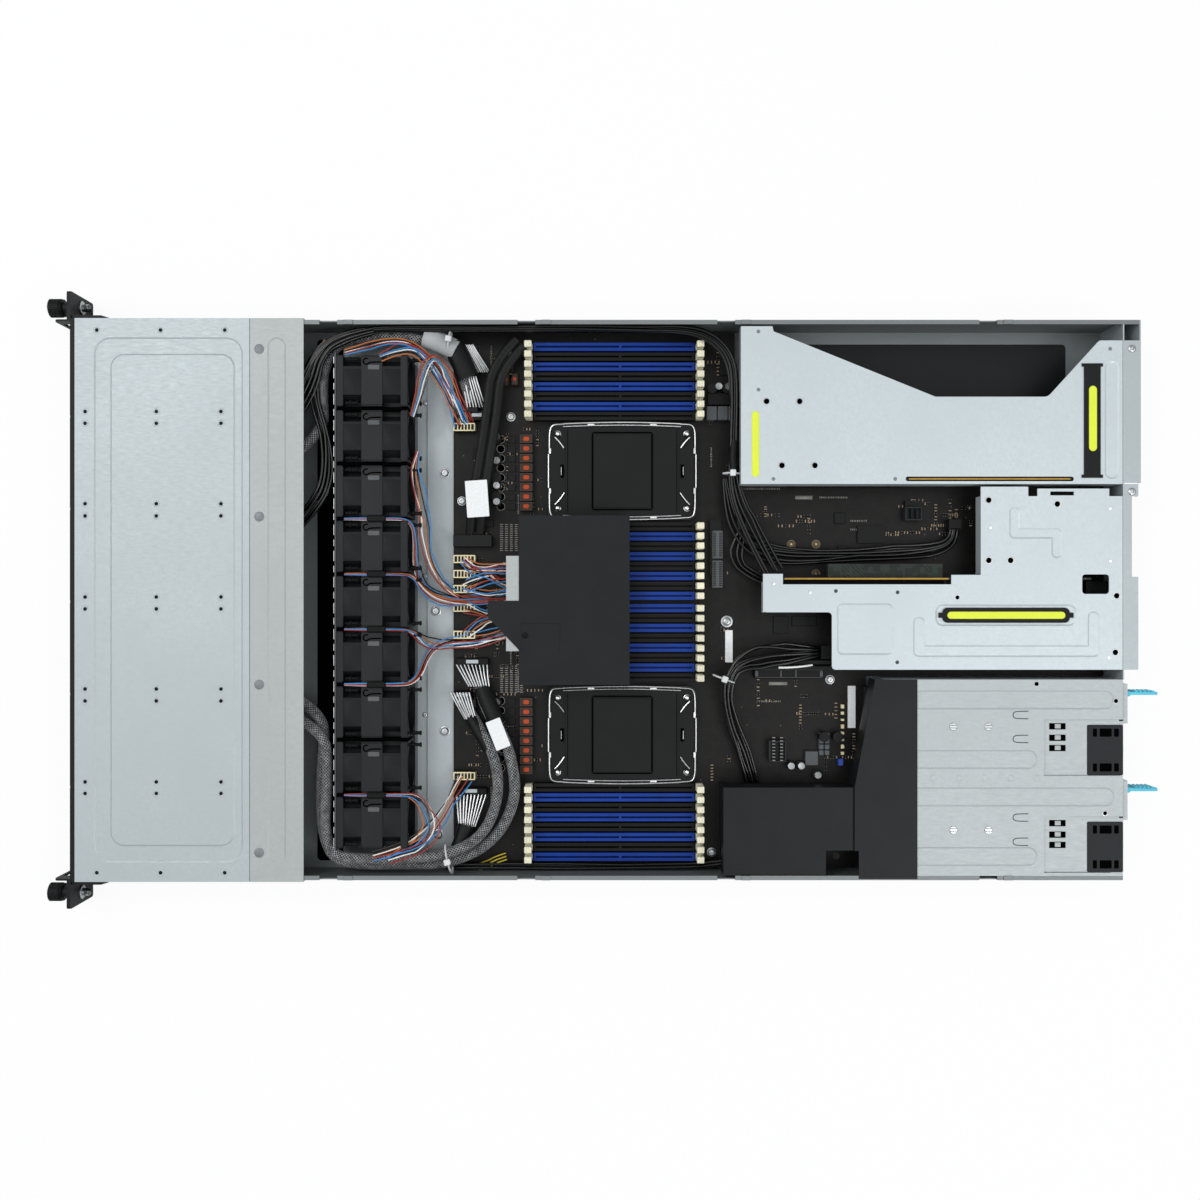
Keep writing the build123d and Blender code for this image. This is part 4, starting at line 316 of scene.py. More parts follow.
FINISHES = {
    "galvanised_steel": lambda name: galvanised_sheet(name, colours().sheet),
    "bright_galvanised_steel": lambda name: galvanised_sheet(name, colours().bright_sheet, 0.35, 0.46),
    "shaded_galvanised_steel": lambda name: galvanised_sheet(name, linear("7d8385"), 0.4, 0.5),
    "dull_zinc_strip": lambda name: galvanised_sheet(name, linear("adb2b2"), 0.35, 0.55),
    "black_powder_coat": lambda name: moulded(name, linear("151718"), 0.5, 0.7, 0.05),
    "fan_frame_pbt": lambda name: moulded(name, linear("141618"), 0.52, 0.8, 0.03),
    "fan_band_pbt": lambda name: moulded(name, linear("1e2022"), 0.45, 0.8, 0.02),
    # Painted shade: a darker copy of the fan plastic for the rotors deep inside the fans and supplies, and for the wire
    # tapes in the gaps between fans.
    "fan_pbt_painted_shade": lambda name: moulded(name, linear("060707"), 0.6, 0.8, 0.02),
    "baffle_polycarbonate": lambda name: moulded(name, linear("17191b"), 0.42, 0.6, 0.03),
    "socket_cap_nylon": lambda name: moulded(name, linear("101112"), 0.5, 0.7, 0.03),
    "socket_nylon_black": lambda name: moulded(name, linear("070707"), 0.45, 0.9, 0.02),
    "socket_nylon_blue": lambda name: moulded(name, colours().memory_blue, 0.42, 0.9, 0.02),
    "latch_nylon": lambda name: moulded(name, linear("e9e6cd"), 0.45, 0.9, 0.02),
    "header_nylon": lambda name: moulded(name, linear("e6dcb4"), 0.45, 0.9, 0.02),
    "rubber": lambda name: moulded(name, linear("0a0a0b"), 0.65, 1.2, 0.05),
    "strap_rubber": lambda name: moulded(name, linear("151718"), 0.55, 1.0, 0.05),
    "epoxy_chip": lambda name: moulded(name, linear("111213"), 0.5, 0.6, 0.03),
    "grey_connector": lambda name: moulded(name, linear("2a2d30"), 0.5, 0.8, 0.02),
    "heat_shrink": lambda name: moulded(name, linear("101112"), 0.48, 2.2, 0.12),
    "release_nylon": lambda name: moulded(name, colours().latch, 0.4, 0.9, 0.02),
    "lift_mark": lambda name: printed_ink(name, colours().mark),
    "zinc_plate": lambda name: bare_metal(name, linear("c9ccce"), 0.34),
    "nickel_plate": lambda name: bare_metal(name, linear("b4b7b8"), 0.3),
    "silver_braid": lambda name: bare_metal(name, linear("eceeef"), 0.36),
    "tin": lambda name: bare_metal(name, linear("b9b6ae"), 0.4),
    "gold_plate": lambda name: bare_metal(name, linear("a5823f"), 0.35),
    "capacitor_can": lambda name: bare_metal(name, linear("a4a7a9"), 0.4),
    "main_board": lambda name: solder_mask(name, colours().mask),
    "riser_board": lambda name: solder_mask(name, linear("1c2420")),
    "ferrite_choke": ferrite,
    "choke_body": lambda name: moulded(name, linear("3c332e"), 0.5, 0.8, 0.05),
    "label_paper": label_stock,
    "ribbed_connector": lambda name: moulded(name, linear("585b5e"), 0.5, 0.8, 0.02),
    "silkscreen": lambda name: printed_ink(name, linear("8c8b86")),
    "shadow_gap": lambda name: moulded(name, linear("020202"), 0.8, gloss=0.02),
    # Painted shade: a dark copy of the galvanised sheet for the fan wall's face in the shaded gap before the fans, for
    # riser two's dimples and for the slot lines round the supply cage's clips.
    "shade_painted_zinc": lambda name: galvanised_sheet(name, linear("43474a")),
    "fan_top_pbt": lambda name: moulded(name, linear("191d21"), 0.45, 0.8, 0.02),
    "cage_steel": lambda name: galvanised_sheet(name, linear("b3babc"), 0.3, 0.52),
    "blackened_steel": lambda name: bare_metal(name, linear("3a3c3d"), 0.45),
    "bright_wire": lambda name: bare_metal(name, linear("f6f7f8"), 0.3),
    "cable_tie_nylon": lambda name: moulded(name, linear("dcdfe0"), 0.4, 1.0, 0.02),
    "foam_wrap": lambda name: moulded(name, linear("a9adaf"), 0.6, 1.0, 0.05),
    "polyester_braid": braided_sleeve,
    "ceramic": lambda name: moulded(name, linear("a58f73"), 0.5, 0.8, 0.02),
    "resistor": lambda name: moulded(name, linear("070708"), 0.4, 0.8, 0.02),
    "wire_white": lambda name: insulated(name, "e8e9e6"),
    "wire_blue": lambda name: insulated(name, "3481c0"),
    "wire_navy": lambda name: insulated(name, "2347a8"),
    "wire_orange": lambda name: insulated(name, "b86a33"),
    "wire_red": lambda name: insulated(name, "8e2a24"),
    "wire_black": lambda name: insulated(name, "040505", 0.22),
    "wire_brown": lambda name: insulated(name, "8a5a3a"),
    "wire_yellow": lambda name: insulated(name, "c9b437"),
    # Painted shade: a near-black sheet on the floor under riser one's window, where shade falls.
    "painted_shade_sheet": lambda name: moulded(name, linear("121416"), 0.4, 0.8, 0.03),
}


def finish(name):
    """The named finish, made when it is first asked for."""
    return bpy.data.materials.get(name) or FINISHES[name](name)


def dress(node, name):
    """Gives a node of the frame its finish."""
    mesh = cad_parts[node].data
    mesh.materials.clear()
    mesh.materials.append(finish(name))


# Surfaces


def turns(count, start=0.0):
    """Evenly spaced angles round a circle."""
    return start + np.arange(count) * 2 * math.pi / count


def turned(places, profile, axis="Z", sides=16):
    """A profile carried round an axis: r cos a and r sin a across it, h along it, once at each place."""
    radius, height = np.array(profile, float).T
    angle = turns(sides)
    across = radius[:, None] * np.cos(angle)
    beside = radius[:, None] * np.sin(angle)
    along = np.repeat(height[:, None], sides, axis=1)
    order = {"Z": (across, beside, along), "X": (along, across, beside), "Y": (beside, along, across)}[axis]
    return np.array(places, float)[:, None, None, :] + np.stack(order, axis=-1)


def corner_outline(width, depth, radius, steps):
    """A rectangle with round corners: four quarter circles about the corner centres, counter-clockwise."""
    angle = np.linspace(0, math.pi / 2, steps)
    quarter = np.arange(4) * math.pi / 2
    angles = (quarter[:, None] + angle).ravel()
    side_x = np.repeat([1, -1, -1, 1], steps) * (width / 2 - radius)
    side_y = np.repeat([1, 1, -1, -1], steps) * (depth / 2 - radius)
    return np.stack([side_x + radius * np.cos(angles), side_y + radius * np.sin(angles)], axis=-1)


def moulding(items, levels, radius=0.4, steps=2, turn=0.0):
    """Round-cornered blocks (x, y, width, depth, base z): the outline, drawn in by each level's inset, is carried
    up through the levels' heights; turn rotates each outline about its own middle, in degrees."""
    shells = []
    angle = math.radians(turn)
    spin = np.array([[math.cos(angle), math.sin(angle)], [-math.sin(angle), math.cos(angle)]])
    for x, y, width, depth, base in items:
        rings = []
        for inset, height in levels:
            edge = min(radius, width / 2, depth / 2)
            flat = corner_outline(width - 2 * inset, depth - 2 * inset, max(edge - inset, 0.02), steps) @ spin
            rings.append(np.column_stack([flat + (x, y), np.full(len(flat), base + height)]))
        shells.append(np.array(rings))
    return np.array(shells)


def smooth_route(points, step):
    """A quadratic B-spline: each inner point pulls a parabola between the middles of its two runs."""
    control = np.array(points, float)
    middles = (control[:-1] + control[1:]) / 2
    starts = np.vstack([control[:1], middles[1:-1]])
    ends = np.vstack([middles[1:-1], control[-1:]])
    inner = control[1:-1]
    lengths = np.linalg.norm(inner - starts, axis=1) + np.linalg.norm(ends - inner, axis=1)
    pieces = []
    for start, pull, end, length in zip(starts, inner, ends, lengths):
        t = np.linspace(0, 1, max(3, int(length / step) + 1))[:, None]
        pieces.append(((1 - t) ** 2 * start + 2 * t * (1 - t) * pull + t ** 2 * end)[:-1])
    return np.vstack(pieces + [control[-1:]])


def eased(values, count):
    """One value, or one for each point of a route, drawn out evenly over the path."""
    values = np.atleast_1d(np.array(values, float))
    return np.interp(np.linspace(0, 1, count), np.linspace(0, 1, len(values)), values)[:, None]


def tube(points, radius, sides=10, step=4.0, flat=1.0, side_shift=0.0, lift=0.0, reference=(0.11, 0.07, 1.0)):
    """A circle carried along a smooth route, square to it; flat squeezes it along its second axis, and
    side_shift and lift, one value or one for each point, move the route across itself and upwards."""
    path = smooth_route(points, step)
    ahead = np.gradient(path, axis=0)
    ahead /= np.linalg.norm(ahead, axis=1)[:, None]
    across = np.cross(np.array(reference), ahead)
    across /= np.linalg.norm(across, axis=1)[:, None]
    upward = np.cross(ahead, across)
    path = path + across * eased(side_shift, len(path)) + np.array([0.0, 0.0, 1.0]) * eased(lift, len(path))
    angle = turns(sides)
    ring = across[:, None, :] * np.cos(angle)[None, :, None] + upward[:, None, :] * np.sin(angle)[None, :, None] * flat
    return (path[:, None, :] + ring * radius)[None]


def skin(name, body, material, *shells, smooth=True):
    """One mesh of closed shells: each is rings carried along, joined by quads and closed by a flat cap at each end.
    Its UV map holds millimetres round and along."""
    points, loops, starts, totals, uvs = [], [], [], [], []
    offset = 0
    corner = 0
    for shell in shells:
        copies, rings, sides, _ = shell.shape
        points.append(shell.reshape(-1, 3))
        index = offset + np.arange(copies * rings * sides).reshape(copies, rings, sides)
        after = np.roll(index, -1, axis=2)
        quads = np.stack([index[:, :-1], after[:, :-1], after[:, 1:], index[:, 1:]], axis=-1).reshape(-1, 4)
        caps = np.concatenate([index[:, 0, ::-1], index[:, -1]])
        loops += [quads.ravel(), caps.ravel()]
        starts += [corner + np.arange(len(quads)) * 4, corner + len(quads) * 4 + np.arange(len(caps)) * sides]
        totals += [np.full(len(quads), 4), np.full(len(caps), sides)]
        middle = shell.mean(axis=2)
        along = np.cumsum(np.linalg.norm(np.diff(middle, axis=1, prepend=middle[:, :1]), axis=2), axis=1)
        edge = np.linalg.norm(shell[0, 0] - np.roll(shell[0, 0], 1, axis=0), axis=1).mean()
        low_u = np.broadcast_to(np.arange(sides) * edge, (copies, rings - 1, sides))
        low_v = np.broadcast_to(along[:, :-1, None], (copies, rings - 1, sides))
        high_v = np.broadcast_to(along[:, 1:, None], (copies, rings - 1, sides))
        us = np.stack([low_u, low_u + edge, low_u + edge, low_u], axis=-1)
        vs = np.stack([low_v, low_v, high_v, high_v], axis=-1)
        uvs += [np.stack([us, vs], axis=-1).reshape(-1, 2), np.zeros((caps.size, 2))]
        offset += copies * rings * sides
        corner += len(quads) * 4 + caps.size
    mesh = bpy.data.meshes.new(name)
    coordinates = np.vstack(points) * MM
    mesh.vertices.add(len(coordinates))
    mesh.vertices.foreach_set("co", coordinates.ravel())
    loop_index = np.concatenate(loops).astype(np.int32)
    mesh.loops.add(len(loop_index))
    mesh.loops.foreach_set("vertex_index", loop_index)
    start_index = np.concatenate(starts).astype(np.int32)
    mesh.polygons.add(len(start_index))
    mesh.polygons.foreach_set("loop_start", start_index)
    mesh.polygons.foreach_set("loop_total", np.concatenate(totals).astype(np.int32))
    mesh.update(calc_edges=True)
    mesh.validate()
    layer = mesh.uv_layers.new(name="UVMap")
    layer.data.foreach_set("uv", np.vstack(uvs).astype(np.float32).ravel())
    if smooth:
        mesh.shade_smooth()
        mesh.set_sharp_from_angle(angle=math.radians(38))
    mesh.materials.append(finish(material))
    piece = bpy.data.objects.new(name, mesh)
    bpy.context.scene.collection.objects.link(piece)
    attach(piece, body)
    return piece


def levels(height, chamfer=0.25):
    """Insets and heights of a block with small chamfers at its foot and top."""
    return ((0.0, 0.0), (0.0, height - chamfer), (chamfer, height))


def screw_head(radius, height):
    """Profile of a pan head with a recess in its middle."""
    return (
        (radius, 0.0), (radius, height * 0.45), (radius * 0.8, height * 0.9), (radius * 0.5, height),
        (radius * 0.42, height), (radius * 0.3, height * 0.45), (0.02, height * 0.4),
    )


# Operators


class SERVER_OT_stage(bpy.types.Operator):
    """Camera straight above, a pale floor, soft lamps and a plain world"""

    bl_idname = "server.stage"
    bl_label = "Stage"

    def execute(self, context):
        scene = context.scene
        scene.view_settings.view_transform = "Standard"
        camera = bpy.data.cameras.new("view_from_above")
        camera.sensor_width = 36.0
        camera.lens = 36.57
        camera.clip_start = 0.05
        holder = bpy.data.objects.new("view_from_above", camera)
        holder.location = (0.0, 0.0, 0.994)
        scene.collection.objects.link(holder)
        scene.camera = holder
        self.floor(scene)
        self.lamps(scene)
        self.world(scene)
        return {"FINISHED"}

    def floor(self, scene):
        """A wide flat sheet just under the object; what looks past the object sees it nearly white."""
        reach = 6.0
        grid = np.linspace(-reach, reach, 9)
        x, y = np.meshgrid(grid, grid)
        height = np.full(x.size, -0.0004)
        vertices = np.column_stack([x.ravel(), y.ravel(), height])
        row = np.arange(8)
        low = (row[:, None] * 9 + row).ravel()
        faces = np.column_stack([low, low + 1, low + 10, low + 9])
        mesh = bpy.data.meshes.new("floor")
        mesh.from_pydata(vertices.tolist(), [], faces.tolist())
        material = bpy.data.materials.new("studio_paper")
        material.use_nodes = True
        tree = material.node_tree
        tree.nodes.clear()
        paper = add(tree, "ShaderNodeBsdfDiffuse", {"Color": linear("f4f5f6")})
        glow = add(tree, "ShaderNodeEmission", {"Color": (1.0, 1.0, 1.0, 1.0), "Strength": 1.0})
        ray = add(tree, "ShaderNodeLightPath")
        seen = add(tree, "ShaderNodeMath", {"operation": "MAXIMUM", 0: ray.outputs["Is Camera Ray"],
                                            1: ray.outputs["Is Transmission Ray"]})
        share = add(tree, "ShaderNodeMath", {"operation": "MULTIPLY", 0: seen.outputs[0], 1: 0.92})
        mixed = add(tree, "ShaderNodeMixShader", {0: share.outputs[0], 1: paper.outputs[0], 2: glow.outputs[0]})
        add(tree, "ShaderNodeOutputMaterial", {"Surface": mixed.outputs[0]})
        mesh.materials.append(material)
        floor = bpy.data.objects.new("floor", mesh)
        scene.collection.objects.link(floor)

    def lamps(self, scene):
        """Two wide soft boxes for the level, and two small ones whose reflections run along wires and edges."""
        for name, place, size, power in (
            ("key_softbox", (-1.3, 0.5, 2.3), 2.4, 29.0),
            ("fill_softbox", (1.3, -0.5, 2.3), 2.4, 25.0),
            ("left_kicker", (-0.9, 0.7, 1.6), 0.25, 3.2),
            ("right_kicker", (0.9, -0.7, 1.6), 0.25, 2.6),
        ):
            lamp = bpy.data.lights.new(name, "AREA")
            lamp.size = size
            lamp.energy = power
            holder = bpy.data.objects.new(name, lamp)
            holder.location = place
            holder.rotation_euler = (-Vector(place)).to_track_quat("-Z", "Y").to_euler()
            scene.collection.objects.link(holder)

    def world(self, scene):
        """An even pale sky that is white to the camera and dimmer as a light."""
        world = bpy.data.worlds.new("studio")
        scene.world = world
        world.use_nodes = True
        tree = world.node_tree
        tree.nodes.clear()
        ray = add(tree, "ShaderNodeLightPath")
        light = add(tree, "ShaderNodeBackground", {"Color": (0.98, 0.99, 1.0, 1.0), "Strength": 0.42})
        white = add(tree, "ShaderNodeBackground", {"Color": (1.0, 1.0, 1.0, 1.0), "Strength": 1.0})
        mixed = add(tree, "ShaderNodeMixShader", {0: ray.outputs["Is Camera Ray"], 1: light.outputs[0],
                                                  2: white.outputs[0]})
        add(tree, "ShaderNodeOutputWorld", {"Surface": mixed.outputs[0]})


class SERVER_OT_sheet_metal(bpy.types.Operator):
    """Finishes of the pan, walls and covers, and the dimples and rivets in the covers"""

    bl_idname = "server.sheet_metal"
    bl_label = "Sheet metal"

    def execute(self, context):
        # The fan wall takes the dark copy of the sheet as painted shade.
        for node, name in {
            "chassis_pan": "shaded_galvanised_steel", "rear_panel": "galvanised_steel",
            "front_cover": "galvanised_steel", "cover_strip": "dull_zinc_strip", "fan_wall": "shade_painted_zinc",
            "floor_bracket": "galvanised_steel", "psu_cage": "cage_steel",
            "drive_cage": "black_powder_coat", "backplane": "main_board",
        }.items():
            dress(node, name)
        self.cover_holes()
        self.strip_rivets()
        self.bracket_screws()
        return {"FINISHED"}

    def cover_holes(self):
        """Dimpled screw points: a ring that rises and falls again into a dark middle."""
        pairs = ((146.9, 137.7), (75.0, 65.5), (2.3, -7.0), (-69.4, -78.7), (-141.8, -150.8))
        places = [(x, y, COVER_Z) for x in (-401.3, -345.8, -295.4) for pair in pairs for y in pair]
        places += [(x, y, COVER_Z) for x in (-392.2, -342.5, -292.5) for y in (210.4, -212.6)]
        ring = ((2.7, -0.02), (2.5, 0.16), (2.0, 0.2), (1.75, 0.05), (1.6, 0.02), (0.02, 0.02))
        skin("cover_dimples", "chassis", "galvanised_steel", turned(places, ring, sides=20))
        hole = ((1.5, 0.0), (1.45, 0.07), (0.02, 0.07))
        skin("cover_dimple_middles", "chassis", "rubber", turned(places, hole, sides=16))

    def strip_rivets(self):
        """Flat round rivets of the cover strip."""
        places = [(-265.6, y, COVER_Z) for y in (195.6, 65.0, -65.9, -196.9)]
        rivet = ((3.9, 0.0), (3.9, 0.12), (3.5, 0.3), (0.02, 0.34))
        skin("strip_rivets", "chassis", "shaded_galvanised_steel", turned(places, rivet, sides=28))

    def bracket_screws(self):
        """Washer-head screws that hold the floor bracket, and the standoffs under the board."""
        places = [(-125.8, 103.0, BRACKET_Z), (-133.1, -8.9, BRACKET_Z), (-125.8, -106.3, BRACKET_Z),
                  (-131.0, -190.0, BRACKET_Z)]
        washer = ((4.1, 0.0), (4.1, 0.5), (3.7, 0.7), (3.2, 0.7), (3.2, 1.6), (2.3, 2.6), (1.1, 2.7), (0.9, 1.4),
                  (0.02, 1.3))
        stands = [(x, y, 1.2) for x in (-111.9, 89.8) for y in (203.9, -203.9)]
        piece = skin("bracket_screws", "chassis", "zinc_plate", turned(places, washer, sides=24),
                     turned(stands, ((2.8, 0.0), (2.8, 4.8)), sides=12))
        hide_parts("fasteners")
        small = [(-143.1, 191.0, 2.0), (-141.9, 160.0, 2.0), (-142.3, 19.5, 2.0), (-142.3, -93.5, 2.0)]
        skin("bracket_rivets", "chassis", "zinc_plate", turned(small, screw_head(2.1, 1.4), sides=16))


class SERVER_OT_drive_bay(bpy.types.Operator):
    """Finishes of the trays, and the levers, release buttons and light pipes of their fronts"""

    bl_idname = "server.drive_bay"
    bl_label = "Drive bay"

    def execute(self, context):
        pipes, arms, buttons = [], [], []
        for number in range(1, 13):
            node = f"drive_tray_{number:02d}"
            dress(node, "black_powder_coat")
            low, high = (np.array(corner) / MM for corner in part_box(node))
            front, middle_z = low[0], (low[2] + high[2]) / 2
            arm = self.arm(front, low[1] + 9.0, middle_z)
            skin(f"tray_lever_{number:02d}", node, "baffle_polycarbonate", arm)
            button = turned([(front - 0.2, low[1] + 9.0, middle_z + 4.6)], ((2.2, 0.9), (2.2, 0.3), (1.8, 0.0), (0.02, 0.0)),
                            "X", 16)
            skin(f"tray_button_{number:02d}", node, "release_nylon", button[:, ::-1, ::-1])
            lights = [(front - 0.1, high[1] - 3.2, middle_z + offset) for offset in (-2.2, 2.2)]
            pipe = turned(lights, ((0.8, 0.9), (0.8, 0.2), (0.5, 0.0), (0.02, 0.0)), "X", 12)
            skin(f"tray_light_pipes_{number:02d}", node, "cable_tie_nylon", pipe[:, ::-1, ::-1])
        return {"FINISHED"}

    def arm(self, front, y, z):
        """Bowed lever of a tray: a round-cornered strip whose middle stands out by a parabola."""
        t = np.linspace(-1, 1, 9)
        route = [(front + 0.4 - 0.9 * (1 - value ** 2), y - 1.2, z - 1.0 + 5.4 * value) for value in t]
        return tube(route, 1.3, 10, 1.2, 1.0, reference=(0.0, 1.0, 0.05))


class SERVER_OT_fans(bpy.types.Operator):
    """Fan finishes, and the bands, hooks, rubber pins and finger guard of the fan row"""

    bl_idname = "server.fans"
    bl_label = "Fan row"

    def execute(self, context):
        dress("fan_housings", "fan_frame_pbt")
        # The rotors sit deep in the housings and take the darker plastic as painted shade.
        for fan in range(1, FAN_COUNT + 1):
            dress(f"fan_rotor_{fan}", "fan_pbt_painted_shade")
        middles = [FAN_SHIFT + (FAN_COUNT - 1 - 2 * fan) * FAN_PITCH / 2 for fan in range(FAN_COUNT)]
        self.bands(middles)
        self.hooks(middles)
        self.pins(middles)
        self.guard(middles)
        self.gap_shades(middles)
        return {"FINISHED"}

    def bands(self, middles):
        """The middle band and end flanges of each fan, a little proud of its top."""
        items = [(FAN_MIDDLE_X, y, 16.6, 37.6, FAN_TOP_Z - 0.3) for y in middles]
        skin("fan_bands", "chassis", "fan_band_pbt", moulding(items, ((0, 0), (0, 0.5), (0.25, 0.7)), 1.0, 3))
        ends = [(x, y, 5.4, 39.0, FAN_TOP_Z - 0.3) for y in middles for x in (-203.5, -153.3)]
        skin("fan_flanges", "chassis", "fan_band_pbt", moulding(ends, ((0, 0), (0, 0.4), (0.25, 0.6)), 1.2, 3))
        panels = [(x, y - 1.0, 13.4, 20.0, FAN_TOP_Z - 0.2) for y in middles for x in (-193.6, -162.7)]
        skin("fan_panels", "chassis", "fan_frame_pbt", moulding(panels, ((0, 0), (0, 0.25), (0.3, 0.4)), 0.8, 3))
        plugs = [(-176.9, y + 10.4, 9.0, 3.6, FAN_TOP_Z + 0.3) for y in middles]
        skin("fan_clip_tongues", "chassis", "ribbed_connector", moulding(plugs, levels(0.5, 0.15), 0.6, 2))

    def hooks(self, middles):
        """The hooked groove on each band: a half circle that runs into a straight slot."""
        shells = []
        for y in middles:
            bend = np.linspace(math.radians(60), math.radians(285), 9)
            route = [(-182.6 + 2.4 * math.cos(a), y + 15.0 + 2.4 * math.sin(a), FAN_TOP_Z + 0.35) for a in bend]
            route += [(-179.5, y + 14.6, FAN_TOP_Z + 0.35), (-171.0, y + 14.4, FAN_TOP_Z + 0.35)]
            shells.append(tube(route, 0.55, 6, 1.2, lift=0.15))
        skin("fan_hooks", "chassis", "shadow_gap", *shells)

    def pins(self, middles):
        """Rubber pins: a round stem with a wide button, lying in the front pockets and behind the fans."""
        stem = ((1.2, 0.0), (1.2, 2.4), (2.0, 2.9), (2.1, 4.2), (1.3, 5.0), (1.3, 8.2), (1.9, 8.6), (1.9, 9.6), (0.3, 10.0))
        lying = [(-199.3, y + side * 17.0, FAN_TOP_Z - 2.4) for y in middles for side in (1, -1)]
        behind = [(FAN_REAR_X + 0.2, y + side * 17.0, FAN_TOP_Z - 7.0) for y in middles for side in (1, -1)]
        skin("fan_pins", "chassis", "rubber", turned(lying, stem, "X", 12), turned(behind, stem, "X", 12))

    def guard(self, middles):
        """Scalloped top edge of the fan wall in near-white metal, a painted highlight on the lit edge: short bright
        lips with gaps between them.
        """
        top = middles[0] + 21.0
        count = 38
        pitch = (top - (middles[-1] - 21.0)) / count
        items = [(-207.9, top - (place + 0.5) * pitch, 0.6, pitch * (0.52 + 0.3 * (place % 2)), 41.5)
                 for place in range(count)]
        skin("fan_wall_edge_highlights", "chassis", "bright_wire", moulding(items, levels(0.7, 0.2), 0.4, 3))

    def gap_shades(self, middles):
        """Near-black blocks between neighbouring fans, which the wires run over: painted shade of the gaps."""
        items = [((FAN_FRONT_X + FAN_REAR_X) / 2, y - FAN_PITCH / 2, 54.0, 2.8, 30.0) for y in middles[:-1]]
        skin("fan_gap_shades", "chassis", "shadow_gap", moulding(items, levels(8.5, 0.6), 0.6, 2))
        tapes = [(-174.7, middles[place] - FAN_PITCH / 2, 14.8, 5.0, 39.4) for place in (2, 3, 4, 5, 7)]
        skin("fan_wire_tapes", "chassis", "fan_pbt_painted_shade", moulding(tapes, levels(3.6, 0.8), 1.2, 3))


